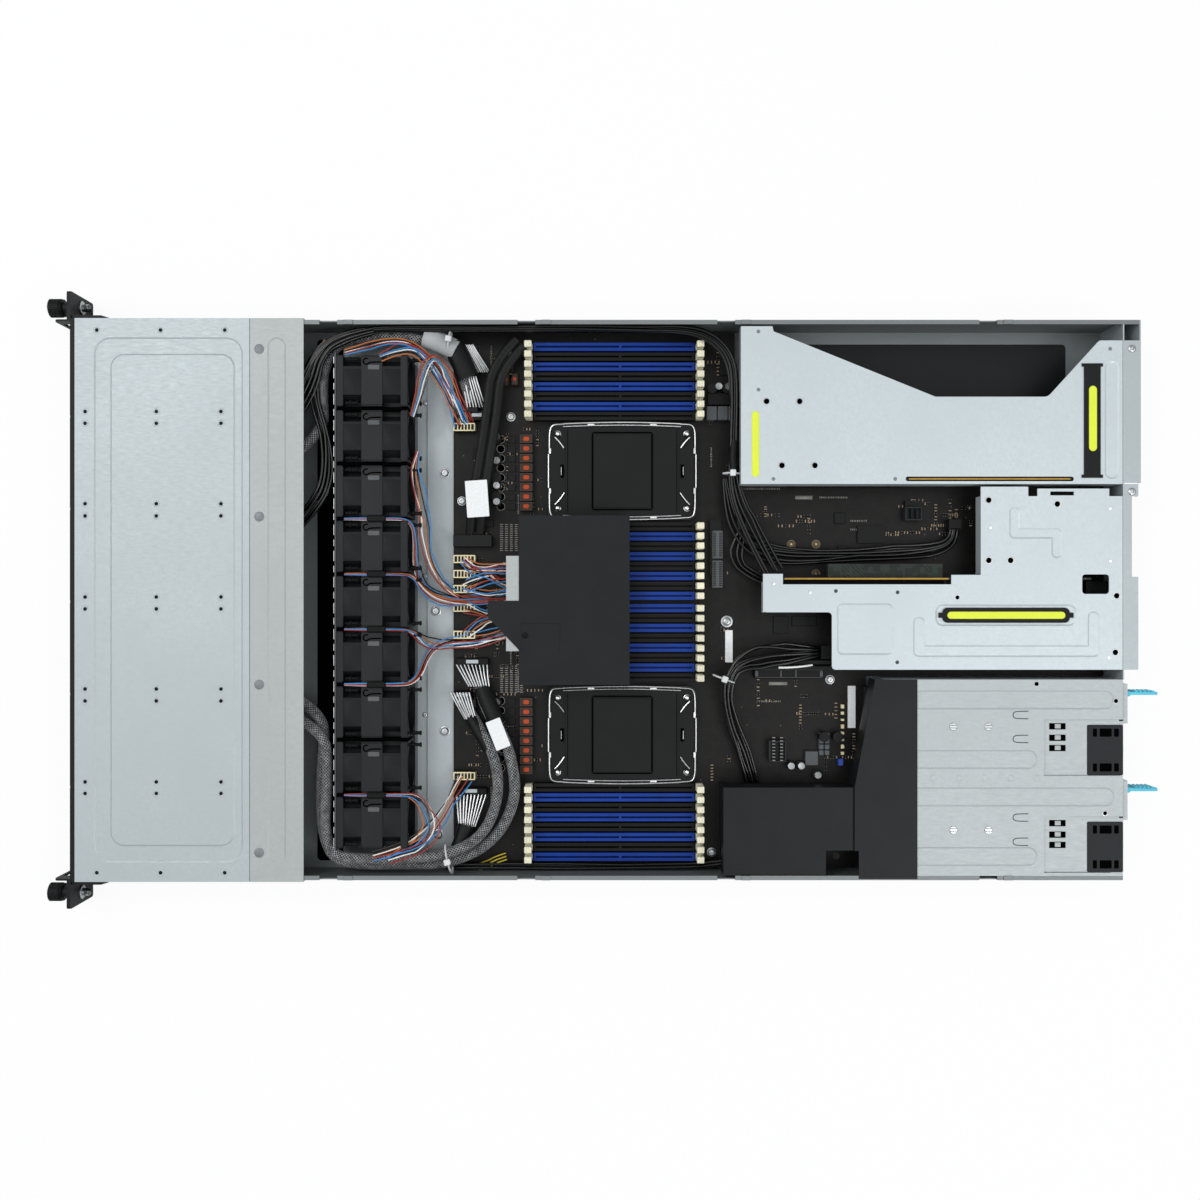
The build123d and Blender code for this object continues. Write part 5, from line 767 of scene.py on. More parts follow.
class SERVER_OT_board(bpy.types.Operator):
    """The main board's finish, and the small components, chips, headers and screws on it"""

    bl_idname = "server.board"
    bl_label = "Main board"

    def execute(self, context):
        dress("motherboard", "main_board")
        dress("board_parts", "epoxy_chip")
        self.chokes()
        self.cans()
        self.headers()
        self.chips()
        self.small_parts()
        self.markings()
        self.screws()
        return {"FINISHED"}

    def choke_places(self):
        """Middles of the eight chokes beside each processor socket."""
        return [(-59.3, middle + (3.5 - place) * 7.75 - 1.0) for middle in SOCKET_Y for place in range(8)]

    def chokes(self):
        """Cast choke tops: a rim, a sunk floor and a rust-coloured core."""
        items = [(x, y, 10.4, 7.1, BOARD_Z + 6.2) for x, y in self.choke_places()]
        rim = ((0, 0), (0, 0.7), (0.3, 1.0), (1.3, 1.0), (1.5, 0.4))
        skin("choke_rims", "chassis", "choke_body", moulding(items, rim, 0.8, 3))
        cores = [(x, y, 4.6, 3.6, BOARD_Z + 6.5) for x, y in self.choke_places()]
        skin("choke_cores", "chassis", "ferrite_choke", moulding(cores, levels(0.5, 0.2), 1.2, 4))
        upper = [(x, 177.6, 5.2, 9.6, BOARD_Z) for x in (-76.0, -68.6)]
        skin("upper_chokes", "chassis", "choke_body", moulding(upper, levels(6.6, 0.5), 0.8, 3))
        skin("upper_choke_cores", "chassis", "ferrite_choke",
             moulding([(x, y, 2.6, 3.2, z + 6.7) for x, y, _, _, z in upper], levels(0.3, 0.1), 0.8, 3))
        switches = [(x - 12.0, y, 6.2, 5.6, BOARD_Z) for x, y in self.choke_places()]
        skin("power_stages", "chassis", "epoxy_chip", moulding(switches, levels(1.1, 0.2), 0.3, 2))

    def cans(self):
        """Aluminium can capacitors: a waisted can on a square black foot."""
        places = [(-83.0, y) for y in (131.0, 112.0, 92.0, 79.0, -82.1, -97.6, -113.1)]
        places += [(-70.7, 196.6), (95.4, 171.5), (103.0, 171.5), (153.5, -133.1), (161.6, -133.1), (174.9, -140.4)]
        can = ((3.1, 0.9), (3.1, 2.2), (2.9, 2.6), (3.1, 3.0), (3.1, 8.0), (2.7, 8.6), (2.2, 8.5), (0.02, 8.5))
        skin("can_capacitors", "chassis", "capacitor_can", turned([(x, y, BOARD_Z) for x, y in places], can, sides=20))
        feet = [(x, y, 6.6, 6.6, BOARD_Z) for x, y in places]
        skin("capacitor_feet", "chassis", "rubber", moulding(feet, levels(0.9, 0.2), 0.8, 2))

    def headers(self):
        """Cream fan headers: a shrouded row of pins."""
        rows = (138.9, 32.9, 20.9, 8.8, -6.2, -27.9, -141.3)
        items = [(-109.0, y, 17.6, 6.6, BOARD_Z) for y in rows]
        shroud = ((0, 0), (0, 7.6), (0.25, 8.0), (1.0, 8.0), (1.1, 4.0))
        skin("fan_headers", "chassis", "header_nylon", moulding(items, shroud, 0.5, 2))
        combs = [(-114.2 + 2.6 * gap, y, 0.9, 5.0, BOARD_Z + 4.0) for y in rows for gap in range(5)]
        skin("fan_header_combs", "chassis", "header_nylon", moulding(combs, levels(3.9, 0.1), 0.1, 1))
        pins = [(-115.5 + 2.6 * pin, y, BOARD_Z + 4.0) for y in rows for pin in range(6)]
        pin_form = ((0.32, 0.0), (0.32, 3.0), (0.1, 3.4))
        skin("fan_header_pins", "chassis", "tin", turned(pins, pin_form, sides=6))
        dark = [(142.6, -121.6, 14.0, 17.0, BOARD_Z), (251.7, 69.3, 13.6, 11.0, BOARD_Z)]
        skin("drive_connectors", "chassis", "grey_connector", moulding(dark, shroud, 0.8, 3))
        teeth = [(x + dx, y, 1.0, depth - 3.4, BOARD_Z + 4.4) for x, y, _, depth, _ in dark for dx in (-2.0, 2.0)]
        skin("connector_tongues", "chassis", "socket_nylon_black", moulding(teeth, levels(3.6, 0.2), 0.3, 2))
        long = [(94.5, 44.6, 8.6, 22.6, BOARD_Z), (94.5, 20.9, 8.6, 22.2, BOARD_Z)]
        skin("card_connectors", "chassis", "ribbed_connector", moulding(long, levels(5.6, 0.4), 0.5, 2))
        ribs = [(x + dx, y + 1.4 * (place - 6.5), 2.2, 0.6, BOARD_Z + 5.6)
                for x, y, _, _, _ in long for dx in (-2.4, 2.4) for place in range(14)]
        skin("card_connector_ribs", "chassis", "socket_nylon_black", moulding(ribs, ((0, 0), (0, 0.25)), 0.02, 1), smooth=False)

    def chips(self):
        """Moulded chips: a low body with a chamfered top."""
        items = [(-95.0, 96.0, 11.0, 11.0, BOARD_Z), (-98.0, -93.0, 10.5, 10.5, BOARD_Z), (-90.0, 62.0, 8.0, 6.0, BOARD_Z),
                 (216.3, 52.5, 17.5, 13.5, BOARD_Z), (101.7, 186.9, 10.5, 10.5, BOARD_Z), (-99.0, 118.0, 7.0, 9.0, BOARD_Z),
                 (193.7, 66.0, 9.0, 9.0, BOARD_Z), (146.0, -20.0, 12.0, 14.0, BOARD_Z), (165.0, -17.0, 20.0, 8.0, BOARD_Z),
                 (168.0, -43.0, 22.0, 9.0, BOARD_Z), (196.0, 40.0, 8.0, 8.0, BOARD_Z)]
        skin("chips", "chassis", "epoxy_chip", moulding(items, levels(1.5, 0.3), 0.5, 2))
        tall = [(98.9, 161.6, 25.0, 9.6, BOARD_Z), (152.0, -59.2, 56.0, 7.2, BOARD_Z)]
        skin("tall_sockets", "chassis", "socket_nylon_black", moulding(tall, levels(6.0, 0.4), 0.6, 2))
        lines = [(152.0, -59.2 + dy, 54.0, 0.4, BOARD_Z + 6.0) for dy in (-3.1, 3.1)]
        lines += [(x, -59.2, 2.4, 4.6, BOARD_Z + 6.0) for x in (126.0, 178.0)]
        lines += [(x, -59.2, 1.0, 5.4, BOARD_Z + 6.0) for x in (145.5, 157.5)]
        skin("socket_lines", "chassis", "ribbed_connector", moulding(lines, ((0, 0), (0, 0.15)), 0.1, 1))
        grey = [(170.6, -127.6, 10.4, 11.4, BOARD_Z)] + [(x, -109.0 - 4.7 * row, 3.9, 4.1, BOARD_Z)
                                                        for x in (178.4, 183.0) for row in range(4)]
        skin("grey_parts", "chassis", "ribbed_connector", moulding(grey, levels(4.2, 0.4), 0.5, 2))
        cream = [(195.9, -86.0 - 5.4 * place, 2.6, 3.2 - 0.7 * (place % 3), BOARD_Z) for place in range(8)]
        skin("cream_posts", "chassis", "header_nylon", moulding(cream, levels(2.4, 0.3), 0.3, 2))
        ladder = [(x, -110.4 - 2.6 * row, 2.4, 0.8, BOARD_Z + 8.1) for x in (139.4, 145.6) for row in range(8)]
        skin("ladder_pins", "chassis", "silkscreen", moulding(ladder, ((0, 0), (0, 0.3)), 0.1, 1))
        pairs = [(-101.0 + 3.4 * (place % 2), y - 1.6 * (place // 2), 2.0, 0.9, BOARD_Z) for y in (121.0, 108.0, 92.0)
                 for place in range(12)]
        skin("upper_pad_rows", "chassis", "silkscreen", moulding(pairs, ((0, 0), (0, 0.1)), 0.1, 1), smooth=False)
        jumper = [(193.7, -130.6, 4.2, 5.6, BOARD_Z)]
        skin("blue_jumper", "chassis", "wire_navy", moulding(jumper, levels(6.0, 0.4), 0.4, 2))

    def small_parts(self):
        """Resistors and ceramic capacitors in neat groups: each a small block between two tinned ends."""
        random = np.random.default_rng(20)
        zones = (
            (-112.0, -66.0, -155.0, 152.0, 330), (82.0, 106.0, -150.0, 200.0, 110), (-62.0, -46.0, 66.0, 140.0, 40),
            (-62.0, -46.0, -146.0, -70.0, 40), (124.0, 300.0, 50.0, 84.0, 170), (112.0, 214.0, -144.0, -62.0, 90),
            (-66.0, -44.0, 145.0, 206.0, 40), (-112.0, -70.0, 152.0, 206.0, 30), (300.0, 390.0, -8.0, 20.0, 10),
        )
        bodies, ends, dark = [], [], []
        for x0, x1, y0, y1, count in zones:
            groups = max(4, count // 7)
            for x, y in zip(random.uniform(x0, x1, groups), random.uniform(y0, y1, groups)):
                along = random.random() < 0.5
                pitch = random.choice((1.9, 2.4, 3.0))
                for place in range(random.integers(3, 11)):
                    px = x + (place * pitch if along else 0.0)
                    py = y + (0.0 if along else place * pitch)
                    if not (x0 <= px <= x1 and y0 <= py <= y1):
                        continue
                    size = (0.9, 1.7) if along else (1.7, 0.9)
                    (bodies if random.random() < 0.55 else dark).append((px, py, size[0], size[1], BOARD_Z))
                    gap = (0.0, 0.95) if along else (0.95, 0.0)
                    tip = (0.9, 0.4) if along else (0.4, 0.9)
                    ends.append((px + gap[0], py + gap[1], tip[0], tip[1], BOARD_Z))
                    ends.append((px - gap[0], py - gap[1], tip[0], tip[1], BOARD_Z))
        square = ((0, 0), (0, 0.6))
        skin("ceramic_capacitors", "chassis", "ceramic", moulding(bodies, square, 0.02, 1), smooth=False)
        skin("resistors", "chassis", "resistor", moulding(dark, square, 0.02, 1), smooth=False)
        skin("solder_ends", "chassis", "tin", moulding(ends, ((0, 0), (0, 0.66)), 0.02, 1), smooth=False)

    def markings(self):
        """Printed outlines without any lettering: grids of pads, rings, bars and dashes, and gold-ringed holes."""
        grids = [(-79.6 + 4.0 * column, y - 1.75 * row, 2.6, 0.8, BOARD_Z)
                 for y in (61.0, -53.5) for column in range(5) for row in range(13)]
        bars = [(164.8, 82.9, 14.0, 3.0, BOARD_Z), (144.0, -67.6, 15.0, 2.6, BOARD_Z)]
        random = np.random.default_rng(5)
        dashes = []
        for x, y, count, upright in (
            (114.0, 90.0, 24, 0), (178.0, 83.0, 17, 0), (203.0, 64.0, 10, 0), (203.0, 57.0, 9, 0), (-72.0, -58.0, 14, 1),
            (-66.0, -74.0, 14, 1), (-97.0, 80.0, 12, 1), (-98.0, -108.0, 16, 0), (-96.0, -122.0, 12, 0), (128.0, -82.0, 14, 0),
            (-66.0, 70.0, 12, 1), (205.0, -128.0, 12, 0), (90.0, 108.0, 12, 1), (-88.0, -164.0, 10, 1), (-88.0, 190.0, 12, 1),
        ):
            for place in range(count):
                along = 1.35 * place + random.uniform(-0.15, 0.15)
                wide, deep = (0.8, 1.6) if not upright else (1.6, 0.8)
                spot = (x, y + along) if upright else (x + along, y)
                dashes.append((*spot, wide * random.uniform(0.5, 1.0), deep, BOARD_Z))
        skin("printed_bars", "chassis", "silkscreen", moulding(grids + bars + dashes, ((0, 0), (0, 0.06)), 0.02, 1), smooth=False)
        rings = [(-80.2, y + 0.4, BOARD_Z) for _, y in self.choke_places()]
        rings += [(154.6, 45.0, BOARD_Z), (174.7, 45.2, BOARD_Z), (174.7, 21.2, BOARD_Z)]
        skin("printed_rings", "chassis", "silkscreen",
             turned(rings, ((3.4, 0.0), (3.4, 0.06), (3.0, 0.06), (3.0, 0.0)), sides=20))
        gold = [(154.6, 45.0, BOARD_Z), (174.7, 45.2, BOARD_Z), (174.7, 21.2, BOARD_Z)]
        skin("gold_rings", "chassis", "gold_plate", turned(gold, ((2.1, 0.0), (2.1, 0.1), (1.6, 0.1), (1.6, 0.0)), sides=18))
        skin("hole_middles", "chassis", "zinc_plate", turned(gold, ((0.9, 0.0), (0.8, 0.3), (0.02, 0.4)), sides=12))
        boxes = [(90.0, 150.3, 8.2, 11.2, BOARD_Z), (98.8, 150.3, 8.2, 11.2, BOARD_Z), (106.4, 150.3, 6.0, 11.2, BOARD_Z)]
        skin("grey_chokes", "chassis", "ribbed_connector", moulding(boxes, levels(6.2, 0.5), 0.6, 3))

    def screws(self):
        """Board screws with their washers, over the standoffs."""
        places = [(-111.6, 203.9), (-111.6, 80.0), (-111.6, -80.0), (-111.6, -203.9), (90.1, -203.9),
                  (185.9, -64.4), (-72.0, 148.0), (-70.0, -150.0)]
        head = ((3.6, 0.0), (3.6, 0.4), (3.0, 0.5), (3.0, 1.5), (2.2, 2.3), (1.1, 2.4), (0.9, 1.3), (0.02, 1.2))
        skin("board_screws", "chassis", "zinc_plate", turned([(x, y, BOARD_Z) for x, y in places], head, sides=20))
        wide = ((4.7, 0.0), (4.7, 0.5), (3.4, 0.7), (3.4, 1.8), (2.4, 2.5), (1.2, 2.6), (1.0, 1.5), (0.02, 1.4))
        skin("washer_screw", "chassis", "nickel_plate", turned([(102.5, -17.4, BOARD_Z)], wide, sides=24))


class SERVER_OT_memory(bpy.types.Operator):
    """Memory socket finishes, and the contacts and the latches with their thumb pads"""

    bl_idname = "server.memory"
    bl_label = "Memory sockets"

    def execute(self, context):
        dress("memory_sockets_blue", "socket_nylon_blue")
        dress("memory_sockets_black", "socket_nylon_black")
        dress("memory_latches", "latch_nylon")
        rows = [start - slot * 7.94 for start in (203.0, 58.9, -6.5, -150.3) for slot in range(8)]
        middle = sum(MEMORY_X) / 2
        walls = [(middle, y + side * 1.15, 125.0, 0.5, MEMORY_TOP_Z - 0.8) for y in rows for side in (1, -1)]
        skin("memory_contact_rows", "chassis", "gold_plate", moulding(walls, ((0, 0), (0, 0.4)), 0.02, 1), smooth=False)
        self.latches(rows)
        return {"FINISHED"}

    def latches(self, rows):
        """Upright latches: a narrow foot, a waist and a wider thumb pad with a stepped top."""
        feet = [(x, y, 5.9, 5.3, BOARD_Z) for y in rows for x in (MEMORY_X[0] - 3.9, MEMORY_X[1] + 3.9)]
        body = ((0.4, 0.0), (0.0, 1.0), (0.0, 12.0), (0.3, 12.6), (0.3, 18.6), (0.0, 19.2), (0.0, 21.4), (0.35, 22.0))
        pads = [(x, y, 2.4, 4.4, LATCH_TOP_Z - 0.2) for x, y, _, _, _ in feet]
        piece = skin("memory_latch_levers", "chassis", "latch_nylon", moulding(feet, body, 0.7, 3),
                     moulding(pads, levels(0.6, 0.3), 0.6, 2))
        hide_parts("memory_latches")


class SERVER_OT_processors(bpy.types.Operator):
    """Processor socket finishes, and the studs, wires and ridges round the caps"""

    bl_idname = "server.processors"
    bl_label = "Processor sockets"

    def execute(self, context):
        dress("socket_frames", "blackened_steel")
        dress("socket_caps", "socket_cap_nylon")
        middle = sum(SOCKET_X) / 2
        studs, wires, borders, slots, clips = [], [], [], [], []
        corner = ((-46.0, 37.6), (-53.0, 37.4), (-56.0, 36.6), (-57.4, 34.6), (-58.2, 31.0), (-58.4, 26.0), (-58.4, 18.0))
        for y in SOCKET_Y:
            studs += [(middle + sx * 51.8, y + sy * 29.8, BOARD_Z + 8.4) for sx in (1, -1) for sy in (1, -1)]
            for side in (1, -1):
                for end in (1, -1):
                    wires.append(tube([(middle + side * x, y + end * dy, 17.0) for x, dy in corner], 0.5, 8, 1.5))
                    clips.append((middle + side * 58.0, y + end * 16.0, 1.9, 4.6, 16.4))
                wires.append(tube([(middle + side * 59.1, y + 13.5, 16.9), (middle + side * 59.2, y, 16.9),
                                   (middle + side * 59.1, y - 13.5, 16.9)], 0.5, 8, 2.0))
                wires.append(tube([(middle + side * 54.0, y + 27.0, 17.2), (middle + side * 50.5, y + 24.0, 17.4),
                                   (middle + side * 46.8, y + 18.5, 17.0)], 0.5, 8, 2.0))
                wires.append(tube([(middle + side * 54.0, y - 27.0, 17.2), (middle + side * 50.0, y - 23.0, 17.4),
                                   (middle + side * 46.5, y - 17.5, 17.0)], 0.5, 8, 2.0))
                bow = [(middle - 47.5, y + side * 37.8, 17.4), (middle - 20.0, y + side * 39.0, 17.6),
                       (middle + 20.0, y + side * 39.0, 17.6), (middle + 47.0, y + side * 37.8, 17.4)]
                wires.append(tube(bow, 0.5, 8, 4.0))
                wires.append(tube([(x, dy - side * 2.2, 16.8) for x, dy, _ in bow], 0.4, 8, 4.0))
                borders.append((middle, y + side * 30.9, 47.0, 0.9, BOARD_Z + 8.3))
                borders.append((middle + side * 24.0, y, 0.9, 61.0, BOARD_Z + 8.3))
                slots.append((middle + side * 44.1, y, 0.8, 66.0, BOARD_Z + 7.9))
                slots.append((middle + side * 48.2, y, 2.6, 10.5, BOARD_Z + 8.2))
            clips += [(middle + dx, y + sy * 37.2, 5.6, 1.6, 16.4) for dx in (-25.0, 25.0) for sy in (1, -1)]
            clips += [(middle + sx * 48.9, y, 0.7, 7.0, BOARD_Z + 8.3) for sx in (1, -1)]
        head = ((2.6, -1.0), (2.6, 0.3), (2.1, 0.6), (1.6, 0.6), (1.5, 1.6), (0.9, 2.0), (0.02, 2.0))
        skin("socket_studs", "chassis", "bright_wire", turned(studs, head, sides=20))
        skin("socket_wires", "chassis", "bright_wire", *wires)
        skin("cap_borders", "chassis", "shadow_gap", moulding(borders, levels(0.5, 0.2), 0.3, 2))
        skin("cap_slots", "chassis", "shadow_gap", moulding(slots, ((0, 0), (0, 0.2)), 0.3, 2))
        skin("socket_clips", "chassis", "bright_wire", moulding(clips, levels(0.6, 0.2), 0.4, 2))
        return {"FINISHED"}


class SERVER_OT_baffles(bpy.types.Operator):
    """Finishes of the black baffles and their bracket, and the rivets and seams on them"""

    bl_idname = "server.baffles"
    bl_label = "Air baffles"

    def execute(self, context):
        dress("air_baffle", "baffle_polycarbonate")
        dress("power_baffle", "baffle_polycarbonate")
        dress("baffle_bracket", "dull_zinc_strip")
        rivets = [(-58.5, -27.8, 42.0), (184.5, -200.0, 41.5)]
        skin("baffle_rivets", "chassis", "rubber", turned(rivets, ((2.6, 0), (2.6, 0.3), (1.9, 0.7), (0.9, 0.75), (0.7, 0.4),
                                                                  (0.02, 0.35)), sides=18))
        seam = [(-61.4, -29.0, 0.6, 21.6, 41.9), (-31.3, -29.0, 0.6, 21.6, 41.9), (-46.3, -18.4, 30.4, 0.6, 41.9)]
        skin("baffle_seams", "chassis", "socket_nylon_black", moulding(seam, ((0, 0), (0.1, 0.18)), 0.1, 1))
        return {"FINISHED"}


class SERVER_OT_risers(bpy.types.Operator):
    """Riser finishes, their lift marks, screws and dimples, and near-black sheets of painted shade on the floor"""

    bl_idname = "server.risers"
    bl_label = "Risers"

    def execute(self, context):
        for word in ("one", "two"):
            dress(f"riser_{word}_cage", "bright_galvanised_steel")
            dress(f"riser_{word}_board", "riser_board")
            dress(f"riser_{word}_strap", "strap_rubber")
        mark = ((0, 0), (0, 0.2), (0.3, 0.45))
        skin("riser_one_front_mark", "riser_one", "lift_mark",
             moulding([(121.3, 121.7, 5.6, 51.4, SHEET_TOP_Z)], mark, 2.8, 6))
        skin("riser_one_strap_mark", "riser_one", "lift_mark",
             moulding([(384.2, 141.5, 6.2, 51.0, SHEET_TOP_Z + 0.9)], mark, 3.1, 6))
        skin("riser_two_strap_mark", "riser_two", "lift_mark",
             moulding([(316.7, -11.9, 92.0, 5.6, SHEET_TOP_Z + 0.9)], mark, 2.8, 6))
        self.holes()
        self.gold_edges()
        # Near-black sheets of painted shade on the floor: under riser one's window, and in the gap in front of the
        # fans.
        sheet = [(248.0, 152.0, 262.0, 112.0, 1.0)]
        skin("card_sheet", "chassis", "painted_shade_sheet", moulding(sheet, levels(0.5, 0.1), 3.0, 3))
        front = [(-219.6, 0.0, 21.0, 424.0, 1.0)]
        skin("front_sheet", "chassis", "shadow_gap", moulding(front, levels(0.5, 0.1), 3.0, 3))
        return {"FINISHED"}

    def holes(self):
        """Rings round the holes, flush screws and small dimples of both cages."""
        ring = ((3.0, 0.0), (2.9, 0.14), (2.3, 0.16), (2.1, 0.0))
        places = [(130.0, 155.0), (155.8, 155.0), (142.0, 105.0), (167.7, 105.0)]
        skin("riser_one_rings", "riser_one", "zinc_plate", turned([(x, y, SHEET_TOP_Z) for x, y in places], ring, sides=20))
        dimple = ((1.5, 0.0), (1.3, 0.16), (0.7, 0.1), (0.02, 0.02))
        ones = [(123.6, 209.5), (123.6, 164.1), (135.3, 94.5), (230.3, 94.5), (398.0, 196.0)]
        skin("riser_one_dimples", "riser_one", "shaded_galvanised_steel",
             turned([(x, y, SHEET_TOP_Z) for x, y in ones], dimple, sides=14))
        # Riser two's dimples take the dark copy of the sheet as painted shade in their hollows.
        twos = [(184.0, 7.0), (232.2, 6.0), (231.9, -48.6)]
        skin("riser_two_dimples", "riser_two", "shade_painted_zinc",
             turned([(x, y, SHEET_TOP_Z) for x, y in twos], dimple, sides=14))
        rivets = [(135.5, 12.7), (163.8, 5.9), (398.0, 71.5), (398.0, 30.5), (397.0, -45.0), (304.6, 56.5)]
        skin("riser_two_rivets", "riser_two", "bright_wire",
             turned([(x, y, SHEET_TOP_Z) for x, y in rivets], ((1.5, 0.0), (1.2, 0.3), (0.02, 0.45)), sides=16))
        pins = [(403.1, 3.3), (402.1, -40.9)]
        skin("riser_two_pins", "riser_two", "shadow_gap",
             turned([(x, y, SHEET_TOP_Z) for x, y in pins], ((1.7, 0.0), (1.6, 0.1), (0.02, 0.1)), sides=16))
        cut = [(303.3, 77.9), (356.8, 74.9), (303.3, 30.9), (320.3, 30.9)]
        holes = [(x, y, SHEET_TOP_Z) for x, y in cut + pins]
        skin("riser_two_rings", "riser_two", "zinc_plate", turned(holes, ring, sides=20))

    def gold_edges(self):
        """The bare gold-coloured edge of each riser card, seen from above."""
        one = [(304.0, 94.5, 126.0, 1.3, SHEET_TOP_Z - 0.25)]
        skin("riser_one_card_edge", "riser_one", "gold_plate", moulding(one, levels(0.3, 0.05), 0.3, 2))
        two = [(208.0, 16.6, 128.0, 1.3, SHEET_TOP_Z - 0.25)]
        skin("riser_two_card_edge", "riser_two", "gold_plate", moulding(two, levels(0.3, 0.05), 0.3, 2))


class SERVER_OT_supplies(bpy.types.Operator):
    """Power supply finishes, and their fan grilles, clips and levers"""

    bl_idname = "server.supplies"
    bl_label = "Power supplies"

    def execute(self, context):
        for number, y in enumerate(PSU_Y, 1):
            body = f"psu_{number}"
            dress(body, "cage_steel")
            dress(f"{body}_rotor", "fan_pbt_painted_shade")
            dress(f"{body}_latch", "release_nylon")
            self.fan(body, y)
        clips, slots = [], []
        # Painted shade: dark lines along the U-shaped slots cut round the cage's clips.
        for y in (-89.7, -108.4, -169.7, -188.6):
            route = [(334.0, y + 2.9, SHEET_TOP_Z), (326.5, y + 2.9, SHEET_TOP_Z), (322.2, y + 2.2, SHEET_TOP_Z),
                     (322.2, y - 2.2, SHEET_TOP_Z), (326.5, y - 2.9, SHEET_TOP_Z), (334.0, y - 2.9, SHEET_TOP_Z)]
            clips.append(tube(route, 0.36, 6, 1.5))
        skin("cage_clip_slot_shades", "chassis", "shade_painted_zinc", *clips)
        dimples = [(259.8 + 20.2 * place, -139.1, SHEET_TOP_Z) for place in range(5)]
        dimple = ((2.9, 0.0), (2.6, 0.1), (2.0, 0.16), (0.02, 0.16))
        skin("cage_dimples", "chassis", "cage_steel", turned(dimples, dimple, sides=18))
        screws = [(x, y, SHEET_TOP_Z) for x in (275.6, 302.9) for y in (-98.8, -179.4)]
        head = ((3.1, 0.0), (3.1, 0.25), (2.8, 0.5), (0.02, 0.55))
        skin("cage_screws", "chassis", "nickel_plate", turned(screws, head, sides=22))
        for x, y, _ in screws:
            slots += [(x, y + dy, 5.0, 0.45, SHEET_TOP_Z + 0.5) for dy in (-1.0, 1.0)]
        skin("cage_screw_slots", "chassis", "shadow_gap", moulding(slots, ((0, 0), (0, 0.1)), 0.1, 1))
        holes = [(340.6, -65.5, SHEET_TOP_Z), (402.5, -78.8, SHEET_TOP_Z), (394.0, -166.4, SHEET_TOP_Z)]
        ring = ((2.3, 0.0), (2.2, 0.14), (1.8, 0.16), (1.7, 0.05))
        skin("cage_rings", "chassis", "nickel_plate", turned(holes, ring, sides=18))
        skin("cage_holes", "chassis", "shadow_gap", turned(holes, ((1.7, 0.0), (1.6, 0.08), (0.02, 0.08)), sides=16))
        return {"FINISHED"}

    def fan(self, body, y):
        """The black body of a supply's fan: its top, pockets and wire grille of rings and spokes."""
        low = y - 36.75
        middle_y, middle_z = low + 20.0, 21.3
        top = [(394.6, middle_y, 28.0, 39.4, PSU_TOP_Z)]
        skin(f"{body}_fan_top", body, "fan_top_pbt", moulding(top, levels(0.5, 0.2), 1.0, 3))
        pockets = [(x, middle_y + side * 13.6, width, 6.4, PSU_TOP_Z + 0.42)
                   for x, width in ((386.6, 3.2), (395.0, 9.4), (403.4, 3.6)) for side in (1, -1)]
        skin(f"{body}_fan_pockets", body, "shadow_gap", moulding(pockets, levels(0.25, 0.08), 0.6, 3))
        # Painted shade: near-black blocks under the vent slots, where the inside of the supply lies in shade.
        shade_blocks = [(357.4, y + dy, 12.4, 5.4, PSU_TOP_Z - 0.7) for dy in (1.8, -7.0, -15.1)]
        skin(f"{body}_vent_shades", body, "shadow_gap", moulding(shade_blocks, levels(0.4, 0.1), 0.3, 2))
        bars = [(357.8, y + dy, 4.6, 3.6, PSU_TOP_Z - 0.3) for dy in (1.8, -7.0, -15.1)]
        skin(f"{body}_vent_bars", body, "dull_zinc_strip", moulding(bars, levels(0.25, 0.1), 0.3, 2))
        edge = [(407.2, y + 18.8, 3.0, 26.0, PSU_TOP_Z)]
        skin(f"{body}_end_edge", body, "black_powder_coat", moulding(edge, levels(0.5, 0.2), 0.4, 2))
        rings = []
        for radius in (5.0, 9.0, 13.0, 17.0):
            bend = np.linspace(0, 2 * math.pi, 33)
            route = [(409.8, middle_y + radius * math.cos(a), middle_z + radius * math.sin(a)) for a in bend]
            rings.append(tube(route, 0.55, 6, 2.0, reference=(1.0, 0.0, 0.0)))
        for angle in (45.0, 135.0):
            dy, dz = 18.4 * math.cos(math.radians(angle)), 18.4 * math.sin(math.radians(angle))
            route = [(410.6, middle_y - dy, middle_z - dz), (410.8, middle_y, middle_z), (410.6, middle_y + dy, middle_z + dz)]
            rings.append(tube(route, 0.6, 6, 3.0, reference=(1.0, 0.0, 0.0)))
        skin(f"{body}_fan_grille", body, "nickel_plate", *rings)


